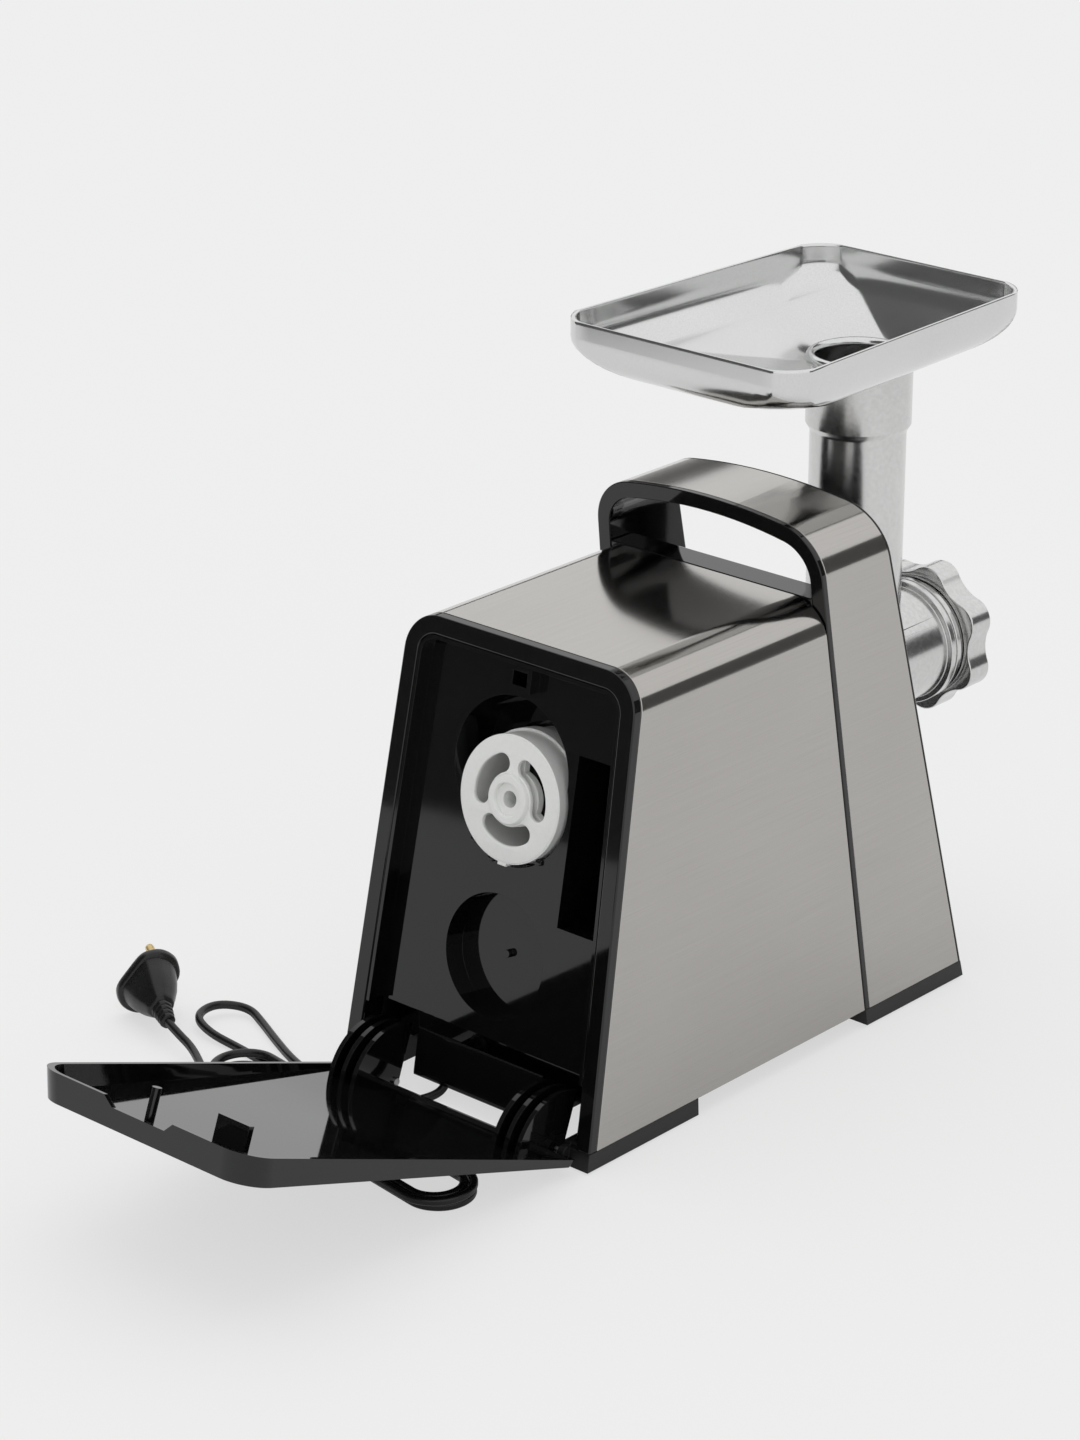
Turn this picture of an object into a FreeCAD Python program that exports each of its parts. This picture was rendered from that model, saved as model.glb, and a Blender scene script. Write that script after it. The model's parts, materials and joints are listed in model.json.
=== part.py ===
"""Electric meat grinder with a storage door in its rear, modelled as a bench assembly.

Frame: millimetres, +Z up, the grinding head points to -Y and the storage door faces +Y.
The origin lies on the ground, at the middle of the base's footprint.
"""
import FreeCAD, Part
import math
import os

V = FreeCAD.Vector

# Body shell
base_length = 300.0
base_width = 165.0
body_height = 239.0
body_corner = 20.0
side_draft = 2.2
rear_lean = 10.57
seam_lean = 8.0
front_lean = 14.0
seam_back = 82.0
sheet = 1.2
wall = 2.8
skin_gap = 0.1
seam_gap = 0.6
panel_bottom = 10.0

# Base and feet
foot_drop = 1.0
plate_thick = 3.0
skirt_wall = 4.0
rear_skirt_length = 83.0
foot_radius = 8.0
foot_height = 3.0
foot_inset = 16.0

# Handle arch over the front unit
handle_height = 279.0
crown_drop = 8.3
shoulder = 27.0
handle_thick = 8.0
rear_trim = 3.4
front_trim = 1.4
hood_depth = 17.0
hood_brow = 200.0

# Rear bezel, storage panel and its pockets, laid out on the leaning rear face
bezel_width = 9.0
bezel_depth = 5.6
recess = 9.0
liner_wall = 2.0
fit_gap = 0.3
disc_seat_radius = 34.5
seat_clear = 19.3
disc_seat_depth = 36.0
funnel_seat_radius = 36.5
funnel_seat_offset = 4.0
funnel_seat_rise = 12.5
funnel_seat_depth = 26.0
disc_play = 1.2
disc_stand = 3.0
disc_rim_step = 1.4
disc_web_drop = 5.0
disc_web = 4.0
disc_window_outer = 25.5
disc_window_inner = 14.0
disc_boss_radius = 8.5
disc_bore = 4.2
disc_spoke = 5.5
plate_seat_radius = 31.5
plate_seat_gap = 12.0
plate_seat_depth = 12.0
slot_inner = 37.0
slot_width = 23.0
slot_drop = 55.5
slot_rise = 30.5
slot_depth = 34.0
catch_drop = 18.1
catch_width = 9.0
catch_tall = 7.0
catch_wall = 2.5
catch_sink = 2.4
stub_radius = 2.0
stub_rise = 3.0

# Storage door, its hinge ribs and pins
door_foot = 12.0
door_top_gap = 9.1
door_reveal = 3.2
door_gap = 0.4
door_wall = 2.6
door_floor = 2.4
door_depth_foot = 4.0
door_depth_head = 15.0
door_corner = 17.0
door_draft = 3.0
door_taper = 1.2
notch_width = 48.0
notch_depth = 7.0
notch_reach = 6.0
peg_radius = 2.3
tab_drop = 12.0
tab_inner = 30.0
tab_width = 20.0
tab_thick = 3.0
tab_gap = 1.5
door_open = 79.7
hinge_inset = 1.0
hinge_z = 7.0
hinge_pin_radius = 2.0
hinge_hub_radius = 4.4
rib_radius = 30.0
rib_thick = 2.6
rib_pitch = 7.5
rib_inner = 47.0
rib_count = 3
pin_running = 0.05
bay_height = 41.0
bay_depth = 40.0

# Grinding head
head_z = 155.0
tube_ahead = 3.0
barrel_radius = 31.0
barrel_bore = 25.5
spigot_radius = 26.7
spigot_length = 27.0
shoulder_back = 23.5
collar_lip = 3.5
collar_lip_thick = 3.1
thread_radius = 32.0
barrel_ahead = 63.0
tube_radius = 25.0
tube_bore = 22.0
mouth_radius = 27.4
mouth_bore = 24.6
mouth_low = 281.0
mouth_top = 308.0
nut_lobe_radius = 41.0
nut_valley_radius = 35.5
nut_lobes = 7
nut_ahead = 58.0
nut_depth = 16.0
nut_lip = 4.0
cutter_thick = 4.6
flight_turns = 2.25
flight_root = 7.5
flight_crest = 3.2
flight_foot = 9.0
blades_per_turn = 20
knife_thick = 6.0
plate_hole = 3.6

# Hopper tray
tray_rim_z = 362.0
tray_ahead = 52.0
tray_length = 199.0
tray_front_width = 130.0
tray_rear_width = 144.4
tray_wall_height = 18.0
tray_corner = 15.0
tray_turn = 7.0
tray_sheet = 1.2
tray_neck_radius = 24.0
tray_neck_depth = 18.0

# Gear train, axes parallel to Y: teeth, module, face width
pinion_teeth, wheel_1_teeth, module_1 = 11, 55, 1.0
pinion_2_teeth, wheel_2_teeth, module_2 = 12, 52, 1.25
pinion_3_teeth, wheel_3_teeth, module_3 = 12, 48, 1.5
face_1, face_2, face_3 = 8.0, 10.0, 12.0
tooth_addendum = 0.9
tooth_dedendum = 1.2
tooth_play = 0.3
pressure_angle = 20.0
layshaft_2_x = -22.0
layshaft_1_x = 8.0
layshaft_radius = 4.0
gear_gap = 2.0
case_wall = 3.0
case_rear_wall = 5.0
cover_thick = 4.0
pedestal_half = 22.0
cover_back = 56.0
bush_nose = 4.5
output_radius = 9.0
drive_hex = 12.0
hex_play = 0.1
hex_depth = 12.0

# Motor
motor_shaft_radius = 4.0
stator_width = 84.0
stator_height = 72.0
stator_length = 50.0
stator_bore = 24.0
stator_corner = 14.0
coil_end = 7.0
coil_overlap = 4.0
coil_side_wall = 8.0
coil_top_wall = 12.0
coil_round = 2.5
cradle_half = 26.0
cradle_leg = 8.0
cradle_inset = 4.0
strip_half = 14.0
strip_thick = 3.0
motor_space = 30.0
arm_thick = 5.0
arm_inset = 3.0
air_gap = 0.8
armature_slots = 8
commutator_radius = 12.0
commutator_length = 16.0
fan_radius = 34.0
fan_ahead = 20.0
fan_depth = 11.0
fan_hub_radius = 8.0
fan_sheet = 1.6
fan_blades = 7
bearing_radius = 10.0
bearing_width = 7.0

# Switch on the +X side and release button on the front
switch_y = 22.0
switch_z = 120.0
switch_length = 58.0
switch_height = 30.0
switch_lip = 2.5
switch_flange = 1.9
switch_corner = 4.0
switch_deep = 8.0
switch_well = 5.0
button_stem = 2.0
button_play = 0.4
rocker_length = 22.0
rocker_height = 18.0
rocker_thick = 6.4
rocker_dip = 1.2
pivot_radius = 1.2
pivot_depth = 3.0
pivot_seat = 0.7
terminal_pitch = 7.0
terminal_width = 4.8
button_radius = 7.0
button_travel = 3.0
release_inset = 32.5
release_stem = 3.0
release_z = 160.0
release_radius = 8.0
release_travel = 4.0

# Mains cord
cord_radius = 2.1
cord_sides = 8
cord_lift = 0.15
plug_roll = -45.0
gland_x = 24.0
gland_z = 20.0
gland_length = 13.0
gland_wall = 2.2
gland_flange = 1.5
hank_x = 35.0
hank_behind = 50.5
hank_turn = -8.5
hank_half_run = 78.0
hank_inner = 12.6
hank_pitch = 4.8

# Values that follow from the sizes above
tan_side = math.tan(math.radians(side_draft))
tan_rear = math.tan(math.radians(rear_lean))
tan_seam = math.tan(math.radians(seam_lean))
tan_front = math.tan(math.radians(front_lean))
cos_rear = math.cos(math.radians(rear_lean))
rear_y = base_length / 2
front_y = -base_length / 2
inner_inset = sheet + skin_gap
shell_inset = inner_inset + wall
frame_inset = handle_thick
REACH = 2 * base_length
seam_ground_y = front_y + seam_back
rear_head = body_height / cos_rear
disc_seat_height = rear_head - bezel_width - fit_gap - seat_clear - funnel_seat_radius - funnel_seat_rise
plate_seat_height = bay_height + plate_seat_gap + plate_seat_radius
slot_low = disc_seat_height - slot_drop
slot_high = disc_seat_height + slot_rise
catch_height = rear_head - catch_drop
door_head = rear_head - door_top_gap
hinge_y = rear_y - hinge_inset
tube_y = front_y - tube_ahead
shoulder_y = front_y + shoulder_back
barrel_end_y = front_y - barrel_ahead
nut_rear_y = front_y - nut_ahead
tray_front_y = front_y - tray_ahead
tray_rear_y = tray_front_y + tray_length
cover_front_y = front_y + cover_back
release_x = base_width / 2 - release_inset
hank_centre = V(hank_x, rear_y + hank_behind, 0)
plate_top = panel_bottom + plate_thick
rear_face = FreeCAD.Placement(V(0, rear_y, 0), FreeCAD.Rotation(V(1, 0, 0), rear_lean))
hinge_local = rear_face.inverse().multVec(V(0, hinge_y, hinge_z))


def half_width(z):
    """Half of the body's outer width at a height."""
    return base_width / 2 - tan_side * z


def box(x0, x1, y0, y1, z0, z1):
    return Part.makeBox(x1 - x0, y1 - y0, z1 - z0, V(x0, y0, z0))


def rod(radius, start, end):
    """Solid cylinder between two points."""
    axis = end - start
    return Part.makeCylinder(radius, axis.Length, start, axis)


def ring(outer, inner, start, end):
    """Hollow cylinder between two points."""
    return rod(outer, start, end).cut(rod(inner, start, end))


def along_y(radius, x, z, y0, y1):
    return rod(radius, V(x, y0, z), V(x, y1, z))


def along_x(radius, x0, x1, y, z):
    return rod(radius, V(x0, y, z), V(x1, y, z))


def cone_between(radius_a, radius_b, start, end):
    axis = end - start
    return Part.makeCone(radius_a, radius_b, axis.Length, start, axis)


def prism(points, sweep):
    """Polygon through the points, swept along a vector."""
    return Part.Face(Part.makePolygon(points + [points[0]])).extrude(sweep)


def flat_face(points):
    return Part.Face(Part.makePolygon(list(points) + [points[0]]))


def stack(rings, split=False):
    """Solid through a row of matching outlines, in flat faces; split halves each side into triangles."""
    faces = [flat_face(rings[0]), flat_face(rings[-1])]
    for low, high in zip(rings, rings[1:]):
        for i in range(len(low)):
            j = (i + 1) % len(low)
            sides = ((low[i], low[j], high[j]), (low[i], high[j], high[i])) if split else (
                (low[i], low[j], high[j], high[i]),)
            faces += [flat_face(side) for side in sides]
    solid = Part.makeSolid(Part.makeShell(faces))
    if solid.Volume < 0:
        solid.reverse()
    return solid


def fuse_all(shapes):
    return shapes[0].multiFuse(shapes[1:]).removeSplitter() if len(shapes) > 1 else shapes[0]


def group(shapes):
    """Separate solids kept side by side in one node."""
    return Part.makeCompound(shapes)


def leaning_side(ground_y, slope, towards_front):
    """Half-space on one side of a plane that leans along Y as it rises."""
    far = -REACH if towards_front else REACH
    low, high = ground_y - slope * REACH, ground_y + slope * REACH
    corners = [V(-REACH, low, -REACH), V(-REACH, high, REACH)]
    corners += [V(-REACH, far, REACH), V(-REACH, far, -REACH)]
    return prism(corners, V(2 * REACH, 0, 0))


def rear_side(depth, inside=True):
    """Space in front of the rear face moved outward by depth, or behind it."""
    return leaning_side(rear_y + depth / cos_rear, -tan_rear, inside)


def seam_side(shift, towards_front):
    return leaning_side(seam_ground_y + shift, tan_seam, towards_front)


def front_side(shift):
    """Space behind the leaning front face moved back by shift."""
    return leaning_side(front_y + shift, tan_front, False)


def above(z):
    return box(-REACH, REACH, -REACH, REACH, z, REACH)


def clip(shape, *limits):
    for limit in limits:
        shape = shape.common(limit)
    return shape


def lengthwise_edges(shape, z):
    """Edges parallel to Y that lie at one height."""
    found = []
    for edge in shape.Edges:
        a, b = edge.Vertexes[0].Point, edge.Vertexes[-1].Point
        if abs(a.z - z) < 1e-6 and abs(b.z - z) < 1e-6 and abs(a.x - b.x) < 1e-6:
            found.append(edge)
    return found


def body_prism(inset):
    """Long bar with the rear body's section: tapered sides and a flat round-cornered top."""
    top = body_height - inset
    low, high = half_width(0) - inset, half_width(top) - inset
    corners = [V(-low, -REACH, 0), V(low, -REACH, 0), V(high, -REACH, top), V(-high, -REACH, top)]
    bar = prism(corners, V(0, 2 * REACH, 0))
    return bar.makeFillet(max(body_corner - inset, 1.0), lengthwise_edges(bar, top))


def arch_prism(inset):
    """Long bar with the handle arch's outer section: tapered legs under a crowned top."""
    crown = handle_height - inset
    spring = crown - crown_drop
    low, high = half_width(0) - inset, half_width(spring) - inset
    corners = [V(-high, -REACH, spring), V(-low, -REACH, 0), V(low, -REACH, 0), V(high, -REACH, spring)]
    edges = [Part.LineSegment(a, b).toShape() for a, b in zip(corners, corners[1:])]
    edges.append(Part.Arc(corners[3], V(0, -REACH, crown), corners[0]).toShape())
    bar = Part.Face(Part.Wire(edges)).extrude(V(0, 2 * REACH, 0))
    return bar.makeFillet(shoulder - inset, lengthwise_edges(bar, spring))


def rounded_edges(corners, radii, place):
    """Edges of a polygon with rounded corners, mapped to space by place(u, v)."""
    flat = [V(u, v, 0) for u, v in corners]
    edges, trims = [], []
    for i, radius in enumerate(radii):
        here, back, ahead = flat[i], flat[i - 1], flat[(i + 1) % len(flat)]
        to_back, to_ahead = (back - here).normalize(), (ahead - here).normalize()
        half = to_back.getAngle(to_ahead) / 2
        reach = radius / math.tan(half)
        bisector = (to_back + to_ahead).normalize()
        middle = here + bisector * (radius / math.sin(half) - radius)
        trims.append((here + to_back * reach, middle, here + to_ahead * reach, radius))
    for i, (start, middle, end, radius) in enumerate(trims):
        if radius > 0:
            points = [place(p.x, p.y) for p in (start, middle, end)]
            edges.append(Part.Arc(*points).toShape())
        nearest = trims[(i + 1) % len(trims)][0]
        edges.append(Part.LineSegment(place(end.x, end.y), place(nearest.x, nearest.y)).toShape())
    return edges


# Base


def base_plate():
    floor = body_prism(inner_inset).cut(above(plate_top))
    plate = clip(floor, above(panel_bottom), front_side(0), rear_side(-bezel_depth - skin_gap))
    outer = clip(body_prism(0), above(foot_drop), front_side(0), rear_side(0)).cut(above(panel_bottom))
    hollow = clip(body_prism(skirt_wall), front_side(skirt_wall), rear_side(-skirt_wall))
    back_y = rear_y - rear_skirt_length
    rear_skirt = outer.common(box(-REACH, REACH, back_y, REACH, 0, REACH))
    rear_skirt = rear_skirt.cut(hollow.common(box(-REACH, REACH, back_y + skirt_wall, REACH, 0, REACH)))
    front_skirt = outer.common(seam_side(0, True))
    front_skirt = front_skirt.cut(hollow.common(seam_side(-skirt_wall, True)))
    bay_wall = bay_half()
    bay_y = rear_y - bay_depth
    cheek = clip(box(bay_wall, bay_wall + skirt_wall, bay_y, rear_y, foot_drop, plate_top), rear_side(0))
    cheek = cheek.fuse(along_x(hinge_hub_radius, bay_wall, bay_wall + skirt_wall, hinge_y, hinge_z))
    other = cheek.mirror(V(0, 0, 0), V(1, 0, 0))
    bay_floor = bay_y + 18
    base = plate.fuse(rear_skirt)
    base = base.cut(box(-bay_wall, bay_wall, bay_floor, REACH, 0, plate_top + 1))
    for side in (-1, 1):
        low, high = sorted((side * (rib_inner - 4), side * bay_wall))
        base = base.cut(box(low, high, bay_y, REACH, 0, plate_top + 1))
    base = base.multiFuse([front_skirt, cheek, other]).removeSplitter()
    for x, y in foot_places():
        post = rod(foot_radius + 2, V(x, y, foot_height), V(x, y, panel_bottom))
        base = base.fuse(post)
    reach = pin_reach()
    return base.cut(along_x(hinge_pin_radius, -reach, reach, hinge_y, hinge_z)).removeSplitter()


def bay_half():
    """Half of the hinge bay's width, just outside the ribs."""
    return rib_inner + (rib_count - 1) * rib_pitch + rib_thick / 2 + 2.5


def pin_reach():
    """Distance from the middle to a hinge pin's outer end, leaving the outer skin of the cheeks whole."""
    return bay_half() + skirt_wall - 1


def foot_places():
    x = base_width / 2 - foot_inset
    return [(sx * x, y) for sx in (-1, 1) for y in (rear_y - rear_skirt_length + 20, front_y + 34)]


def rubber_feet():
    feet = []
    for x, y in foot_places():
        foot = cone_between(foot_radius - 1, foot_radius, V(x, y, 0), V(x, y, foot_height))
        feet.append(foot)
    return group(feet)


# Rear unit


def rear_wrap():
    skin = body_prism(0).cut(body_prism(sheet))
    skin = clip(skin, above(panel_bottom), seam_side(seam_gap, False), rear_side(-bezel_depth - skin_gap))
    return skin.cut(switch_opening())


def motor_carcass():
    shell = body_prism(inner_inset).cut(body_prism(shell_inset))
    limits = (above(plate_top), seam_side(seam_gap, False), rear_side(-bezel_depth - skin_gap))
    return clip(shell, *limits).cut(switch_opening()).removeSplitter()


def rear_bezel():
    frame = body_prism(0).cut(body_prism(bezel_width))
    frame = clip(frame, above(panel_bottom), rear_side(0), rear_side(-bezel_depth, False))
    return frame


def on_rear(shape):
    """Move a shape drawn upright at the origin onto the leaning rear face."""
    shape.Placement = rear_face.multiply(shape.Placement)
    return shape


def seat(radius, u, v, depth, extra=0.0):
    """Round pocket in the storage panel, sunk from the panel's face."""
    return on_rear(rod(radius, V(u, -recess + extra, v), V(u, -recess - depth, v)))


def slot_box(margin, extra):
    low_u, high_u = -slot_inner - slot_width, -slot_inner
    shape = box(low_u - margin, high_u + margin, -recess - slot_depth - margin, -recess + extra,
                slot_low - margin, slot_high + margin)
    return on_rear(shape)


def storage_liner():
    edge = bezel_width + fit_gap
    outline = body_prism(edge)
    panel = clip(outline, above(bay_height), rear_side(-recess), rear_side(-recess - liner_wall, False))
    rim = clip(outline.cut(body_prism(edge + liner_wall)), above(bay_height), rear_side(-fit_gap),
               rear_side(-recess - liner_wall, False))
    bay = bay_half()
    bay_y = rear_y - bay_depth
    side, top = bay + liner_wall, bay_height + liner_wall
    hood = box(-side, side, bay_y - liner_wall, rear_y, plate_top, top)
    hood = clip(hood.cut(box(-bay, bay, bay_y, REACH, 0, bay_height)), rear_side(-recess))
    funnel_v = disc_seat_height + funnel_seat_rise
    cups = [seat(disc_seat_radius + liner_wall, 0, disc_seat_height, disc_seat_depth + liner_wall),
            seat(funnel_seat_radius + liner_wall, funnel_seat_offset, funnel_v,
                 funnel_seat_depth + liner_wall),
            seat(plate_seat_radius + liner_wall, 0, plate_seat_height, plate_seat_depth + liner_wall),
            slot_box(liner_wall, 0)]
    catch = catch_block(catch_wall, -recess, -catch_sink)
    liner = panel.multiFuse([rim, hood, catch] + cups)
    hollows = [seat(disc_seat_radius, 0, disc_seat_height, disc_seat_depth, 1),
               seat(funnel_seat_radius, funnel_seat_offset, funnel_v, funnel_seat_depth, 1),
               seat(plate_seat_radius, 0, plate_seat_height, plate_seat_depth, 1),
               slot_box(0, 1),
               catch_block(0, -recess - liner_wall - 1, 1)]
    for hollow in hollows:
        liner = liner.cut(hollow)
    stub_foot = -recess - plate_seat_depth
    stub = on_rear(along_y(stub_radius, 0, plate_seat_height, stub_foot, stub_foot + stub_rise))
    gland_hole = along_y(gland_radius(), gland_x, gland_z, bay_y - 2 * liner_wall, bay_y + 1)
    return liner.fuse(stub).cut(gland_hole).removeSplitter()


def catch_block(margin, n0, n1):
    """Block round the catch hole, from depth n0 to n1."""
    u, v = catch_width / 2 + margin, catch_tall / 2 + margin
    return on_rear(box(-u, u, n0, n1, catch_height - v, catch_height + v))


def gland_radius():
    return cord_radius + gland_wall


def kubbe_disc():
    """White moulded attachment kept in the round seat: a cup with a hub, three windows and a flange."""
    radius = disc_seat_radius - disc_play
    v = disc_seat_height - (disc_seat_radius - radius - fit_gap)
    back = -recess - disc_seat_depth + fit_gap / 2
    face = -recess + disc_stand
    web = face - disc_web_drop

    def barrel(r, n0, n1):
        return rod(r, V(0, n0, v), V(0, n1, v))

    cup = barrel(radius - disc_rim_step, back, face).fuse(barrel(radius, face - 22, face - 14))
    cup = cup.cut(barrel(disc_window_outer, back, web - disc_web)).cut(barrel(disc_window_outer, web, face))
    cup = cup.fuse(barrel(disc_boss_radius, web, face))
    window = barrel(disc_window_outer, web - disc_web, web).cut(barrel(disc_window_inner, back, face))
    for k in range(3):
        spoke = box(-disc_spoke / 2, disc_spoke / 2, back, face, v, v + REACH)
        spoke.rotate(V(0, 0, v), V(0, 1, 0), 120 * k)
        window = window.cut(spoke)
    cup = cup.cut(window).cut(barrel(disc_bore, back, face))
    key = box(-disc_spoke / 2, disc_spoke / 2, face - 6, face, v - radius, v - radius + 4)
    return on_rear(cup.fuse(key).removeSplitter())


# Storage door, drawn closed on the rear face and then swung open


def door_edge(v):
    return half_width(v * cos_rear) - door_reveal


def door_outline(inset, head_inset, depth_at):
    """Rounded door outline; depth_at gives how far outside the rear face each point lies."""
    low, high = door_foot + inset, door_head - inset - head_inset
    corners = [(-door_edge(low) + inset, low), (door_edge(low) - inset, low),
               (door_edge(high) - inset, high), (-door_edge(high) + inset, high)]
    radii = [2.0, 2.0, door_corner, door_corner]
    return Part.Wire(rounded_edges(corners, radii, lambda u, v: V(u, depth_at(v), v)))


def door_depth(v):
    slope = (door_depth_head - door_depth_foot) / (door_head - door_foot)
    return door_gap + door_depth_foot + slope * (v - door_foot)


def hinge_rib(u):
    """Quarter-disc rib that turns about the hinge pin and sweeps into the bay."""
    disc = rod(rib_radius, V(u - rib_thick / 2, hinge_local.y, hinge_local.z),
               V(u + rib_thick / 2, hinge_local.y, hinge_local.z))
    keep = box(-REACH, REACH, hinge_local.y - REACH, door_depth(door_foot) - 0.4,
               hinge_local.z - 3.0, hinge_local.z + REACH)
    return disc.common(keep)


def rib_places():
    return [side * (rib_inner + k * rib_pitch) for side in (-1, 1) for k in range(rib_count)]


def door_shell(inset, depth_foot, sink):
    """Solid from the door's mouth to its floor, moved inward by inset; sink leaves the floor's thickness."""
    mouth = door_outline(inset, 0, lambda v: depth_foot)
    floor = door_outline(inset + door_taper, door_draft, lambda v: door_depth(v) - sink)
    return Part.makeLoft([mouth, floor], True, True)


def rear_door():
    shell = door_shell(0, door_gap, 0).cut(door_shell(door_wall, door_gap - 0.01, door_floor))
    low = door_head - notch_reach
    wide, narrow = notch_width / 2, notch_width / 2 - notch_depth
    corners = [(-wide, -1), (wide, -1), (narrow, notch_depth - 2), (-narrow, notch_depth - 2)]
    shell = shell.cut(prism([V(u, n, low) for u, n in corners], V(0, 0, 2 * notch_reach)))
    peg = rod(peg_radius, V(0, door_depth(catch_height) - 1, catch_height), V(0, -recess - 1, catch_height))
    tab_v = catch_height - tab_drop
    tab = box(-tab_inner - tab_width, -tab_inner, -recess + tab_gap, door_depth(tab_v) - 1,
              tab_v - tab_thick / 2, tab_v + tab_thick / 2)
    door = shell.multiFuse([peg, tab] + [hinge_rib(u) for u in rib_places()])
    door = door.cut(along_x(hinge_pin_radius + pin_running, -REACH, REACH, hinge_local.y, hinge_local.z))
    door = on_rear(door.removeSplitter())
    door.rotate(V(0, hinge_y, hinge_z), V(1, 0, 0), -door_open)
    return door


def hinge_pins():
    pins = []
    near = rib_inner - rib_thick / 2 - 1.5
    for side in (-1, 1):
        pins.append(along_x(hinge_pin_radius, side * near, side * pin_reach(), hinge_y, hinge_z))
    return group(pins)


# Front unit with the carrying handle


def hood_core(inset):
    """Solid of the front unit between the handle's legs."""
    rear_top = seam_ground_y + tan_seam * body_height
    brow_y = front_y + tan_front * hood_brow
    drop = inset
    side = [(rear_top, body_height - drop), (seam_ground_y + tan_seam * plate_top, plate_top),
            (front_y + tan_front * plate_top + inset, plate_top), (brow_y + inset, hood_brow - drop / 2),
            (rear_top - hood_depth, body_height - drop)]
    core = prism([V(-REACH, y, z) for y, z in side], V(2 * REACH, 0, 0))
    return core.common(arch_prism(frame_inset + fit_gap + inset))


def front_housing():
    shell = hood_core(0).cut(hood_core(wall))
    collar_boss = along_y(collar_radius() + 5, 0, head_z, shoulder_y + 3.5, shoulder_y + 40).common(
        leaning_side(front_y + wall, tan_front, True))
    release_boss = along_y(release_radius + 4, release_x, release_z, release_y(), release_y() + 30).common(
        leaning_side(front_y + wall, tan_front, True))
    shell = shell.multiFuse([collar_boss, release_boss])
    shell = shell.cut(along_y(collar_radius() + skin_gap, 0, head_z, -REACH, 0))
    shell = shell.cut(along_y(release_radius + button_play, release_x, release_z, -REACH, release_y() + 12))
    shell = shell.cut(along_y(release_stem + fit_gap, release_x, release_z, -REACH, REACH))
    return shell.removeSplitter()


def release_y():
    """Front face of the release button's boss."""
    return front_y + tan_front * (release_z - release_radius - 4) - 3.0


def handle_frame():
    legs = arch_prism(inner_inset).cut(arch_prism(frame_inset))
    legs = clip(legs, above(plate_top), seam_side(0, True), front_side(0))
    edge = arch_prism(0).cut(arch_prism(inner_inset))
    edge = clip(edge, above(panel_bottom), seam_side(0, True), front_side(0))
    edge = edge.cut(clip(edge, seam_side(-rear_trim, True), front_side(front_trim)))
    return legs.fuse(edge).removeSplitter()


def handle_band():
    band = arch_prism(0).cut(arch_prism(sheet))
    ahead_of_wrap = seam_side(-rear_trim - skin_gap, True)
    return clip(band, above(panel_bottom), ahead_of_wrap, front_side(front_trim + skin_gap))


def collar_radius():
    """Outside of the metal socket ring that takes the head's spigot."""
    return spigot_radius + fit_gap + 6.0


def head_collar():
    bore = spigot_radius + fit_gap
    front = V(0, shoulder_y + fit_gap, head_z)
    sleeve = ring(collar_radius(), bore, front, V(0, shoulder_y + spigot_length, head_z))
    lip = ring(collar_radius() + collar_lip, bore, front, front + V(0, collar_lip_thick, 0))
    return sleeve.fuse(lip).removeSplitter()


def release_button():
    face = release_y()
    cap = along_y(release_radius, release_x, release_z, face - release_travel - 1.5, face + 7)
    cap = cap.makeChamfer(1.2, [e for e in cap.Edges if e.BoundBox.YMax < face - release_travel - 1])
    stem = along_y(release_stem, release_x, release_z, face + 6, face + 22)
    return cap.fuse(stem).removeSplitter()


# Switch on the side


def on_side(shape):
    """Move a shape drawn with +X outward onto the drafted side face at the switch."""
    turn = FreeCAD.Rotation(V(0, 1, 0), -side_draft)
    side = FreeCAD.Placement(V(half_width(switch_z), switch_y, switch_z), turn)
    shape.Placement = side.multiply(shape.Placement)
    return shape


def switch_opening():
    length, height = switch_length / 2 - switch_lip + skin_gap, switch_height / 2 - switch_lip + skin_gap
    return on_side(box(-switch_deep - shell_inset, shell_inset, -length, length, -height, height))


def rocker_y():
    return -switch_length / 4 + 2


def button_y():
    return switch_length / 4 + 1


def switch_bezel():
    length, height = switch_length / 2, switch_height / 2
    flange = box(skin_gap, skin_gap + switch_flange, -length, length, -height, height)
    upright = [e for e in flange.Edges if abs(e.Length - switch_flange) < 1e-6]
    flange = flange.makeFillet(switch_corner, upright)
    length, height = length - switch_lip, height - switch_lip
    frame = flange.fuse(box(-switch_deep, skin_gap, -length, length, -height, height))
    rocker_end, rocker_top = rocker_length / 2, rocker_height / 2
    frame = frame.cut(box(-switch_well, REACH, rocker_y() - rocker_end, rocker_y() + rocker_end,
                          -rocker_top, rocker_top))
    frame = frame.cut(rocker_pivot(pivot_radius + pin_running))
    frame = frame.cut(along_x(button_radius + button_play, -switch_well, REACH, button_y(), 0))
    frame = frame.cut(along_x(button_stem + button_play, -REACH, REACH, button_y(), 0))
    return on_side(frame.removeSplitter())


def power_rocker():
    """Paddle with a shallow V face, hung on a short pivot bar across its middle."""
    half_l, half_h = rocker_length / 2 - 0.5, rocker_height / 2 - 1.2
    out, dip = rocker_thick / 2, rocker_dip
    side = [(-out, -half_h), (out, -half_h), (out - dip, 0), (out, half_h), (-out, half_h), (-out - dip, 0)]
    paddle = prism([V(x, -half_l, z) for x, z in side], V(0, 2 * half_l, 0))
    paddle.translate(V(0, rocker_y(), 0))
    return on_side(paddle.fuse(rocker_pivot(pivot_radius)).removeSplitter())


def rocker_pivot(radius):
    """Round bar on the rocker's axis, a little longer than its opening."""
    reach = rocker_length / 2 + pivot_seat
    return rod(radius, V(-pivot_depth, rocker_y() - reach, 0), V(-pivot_depth, rocker_y() + reach, 0))


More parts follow.
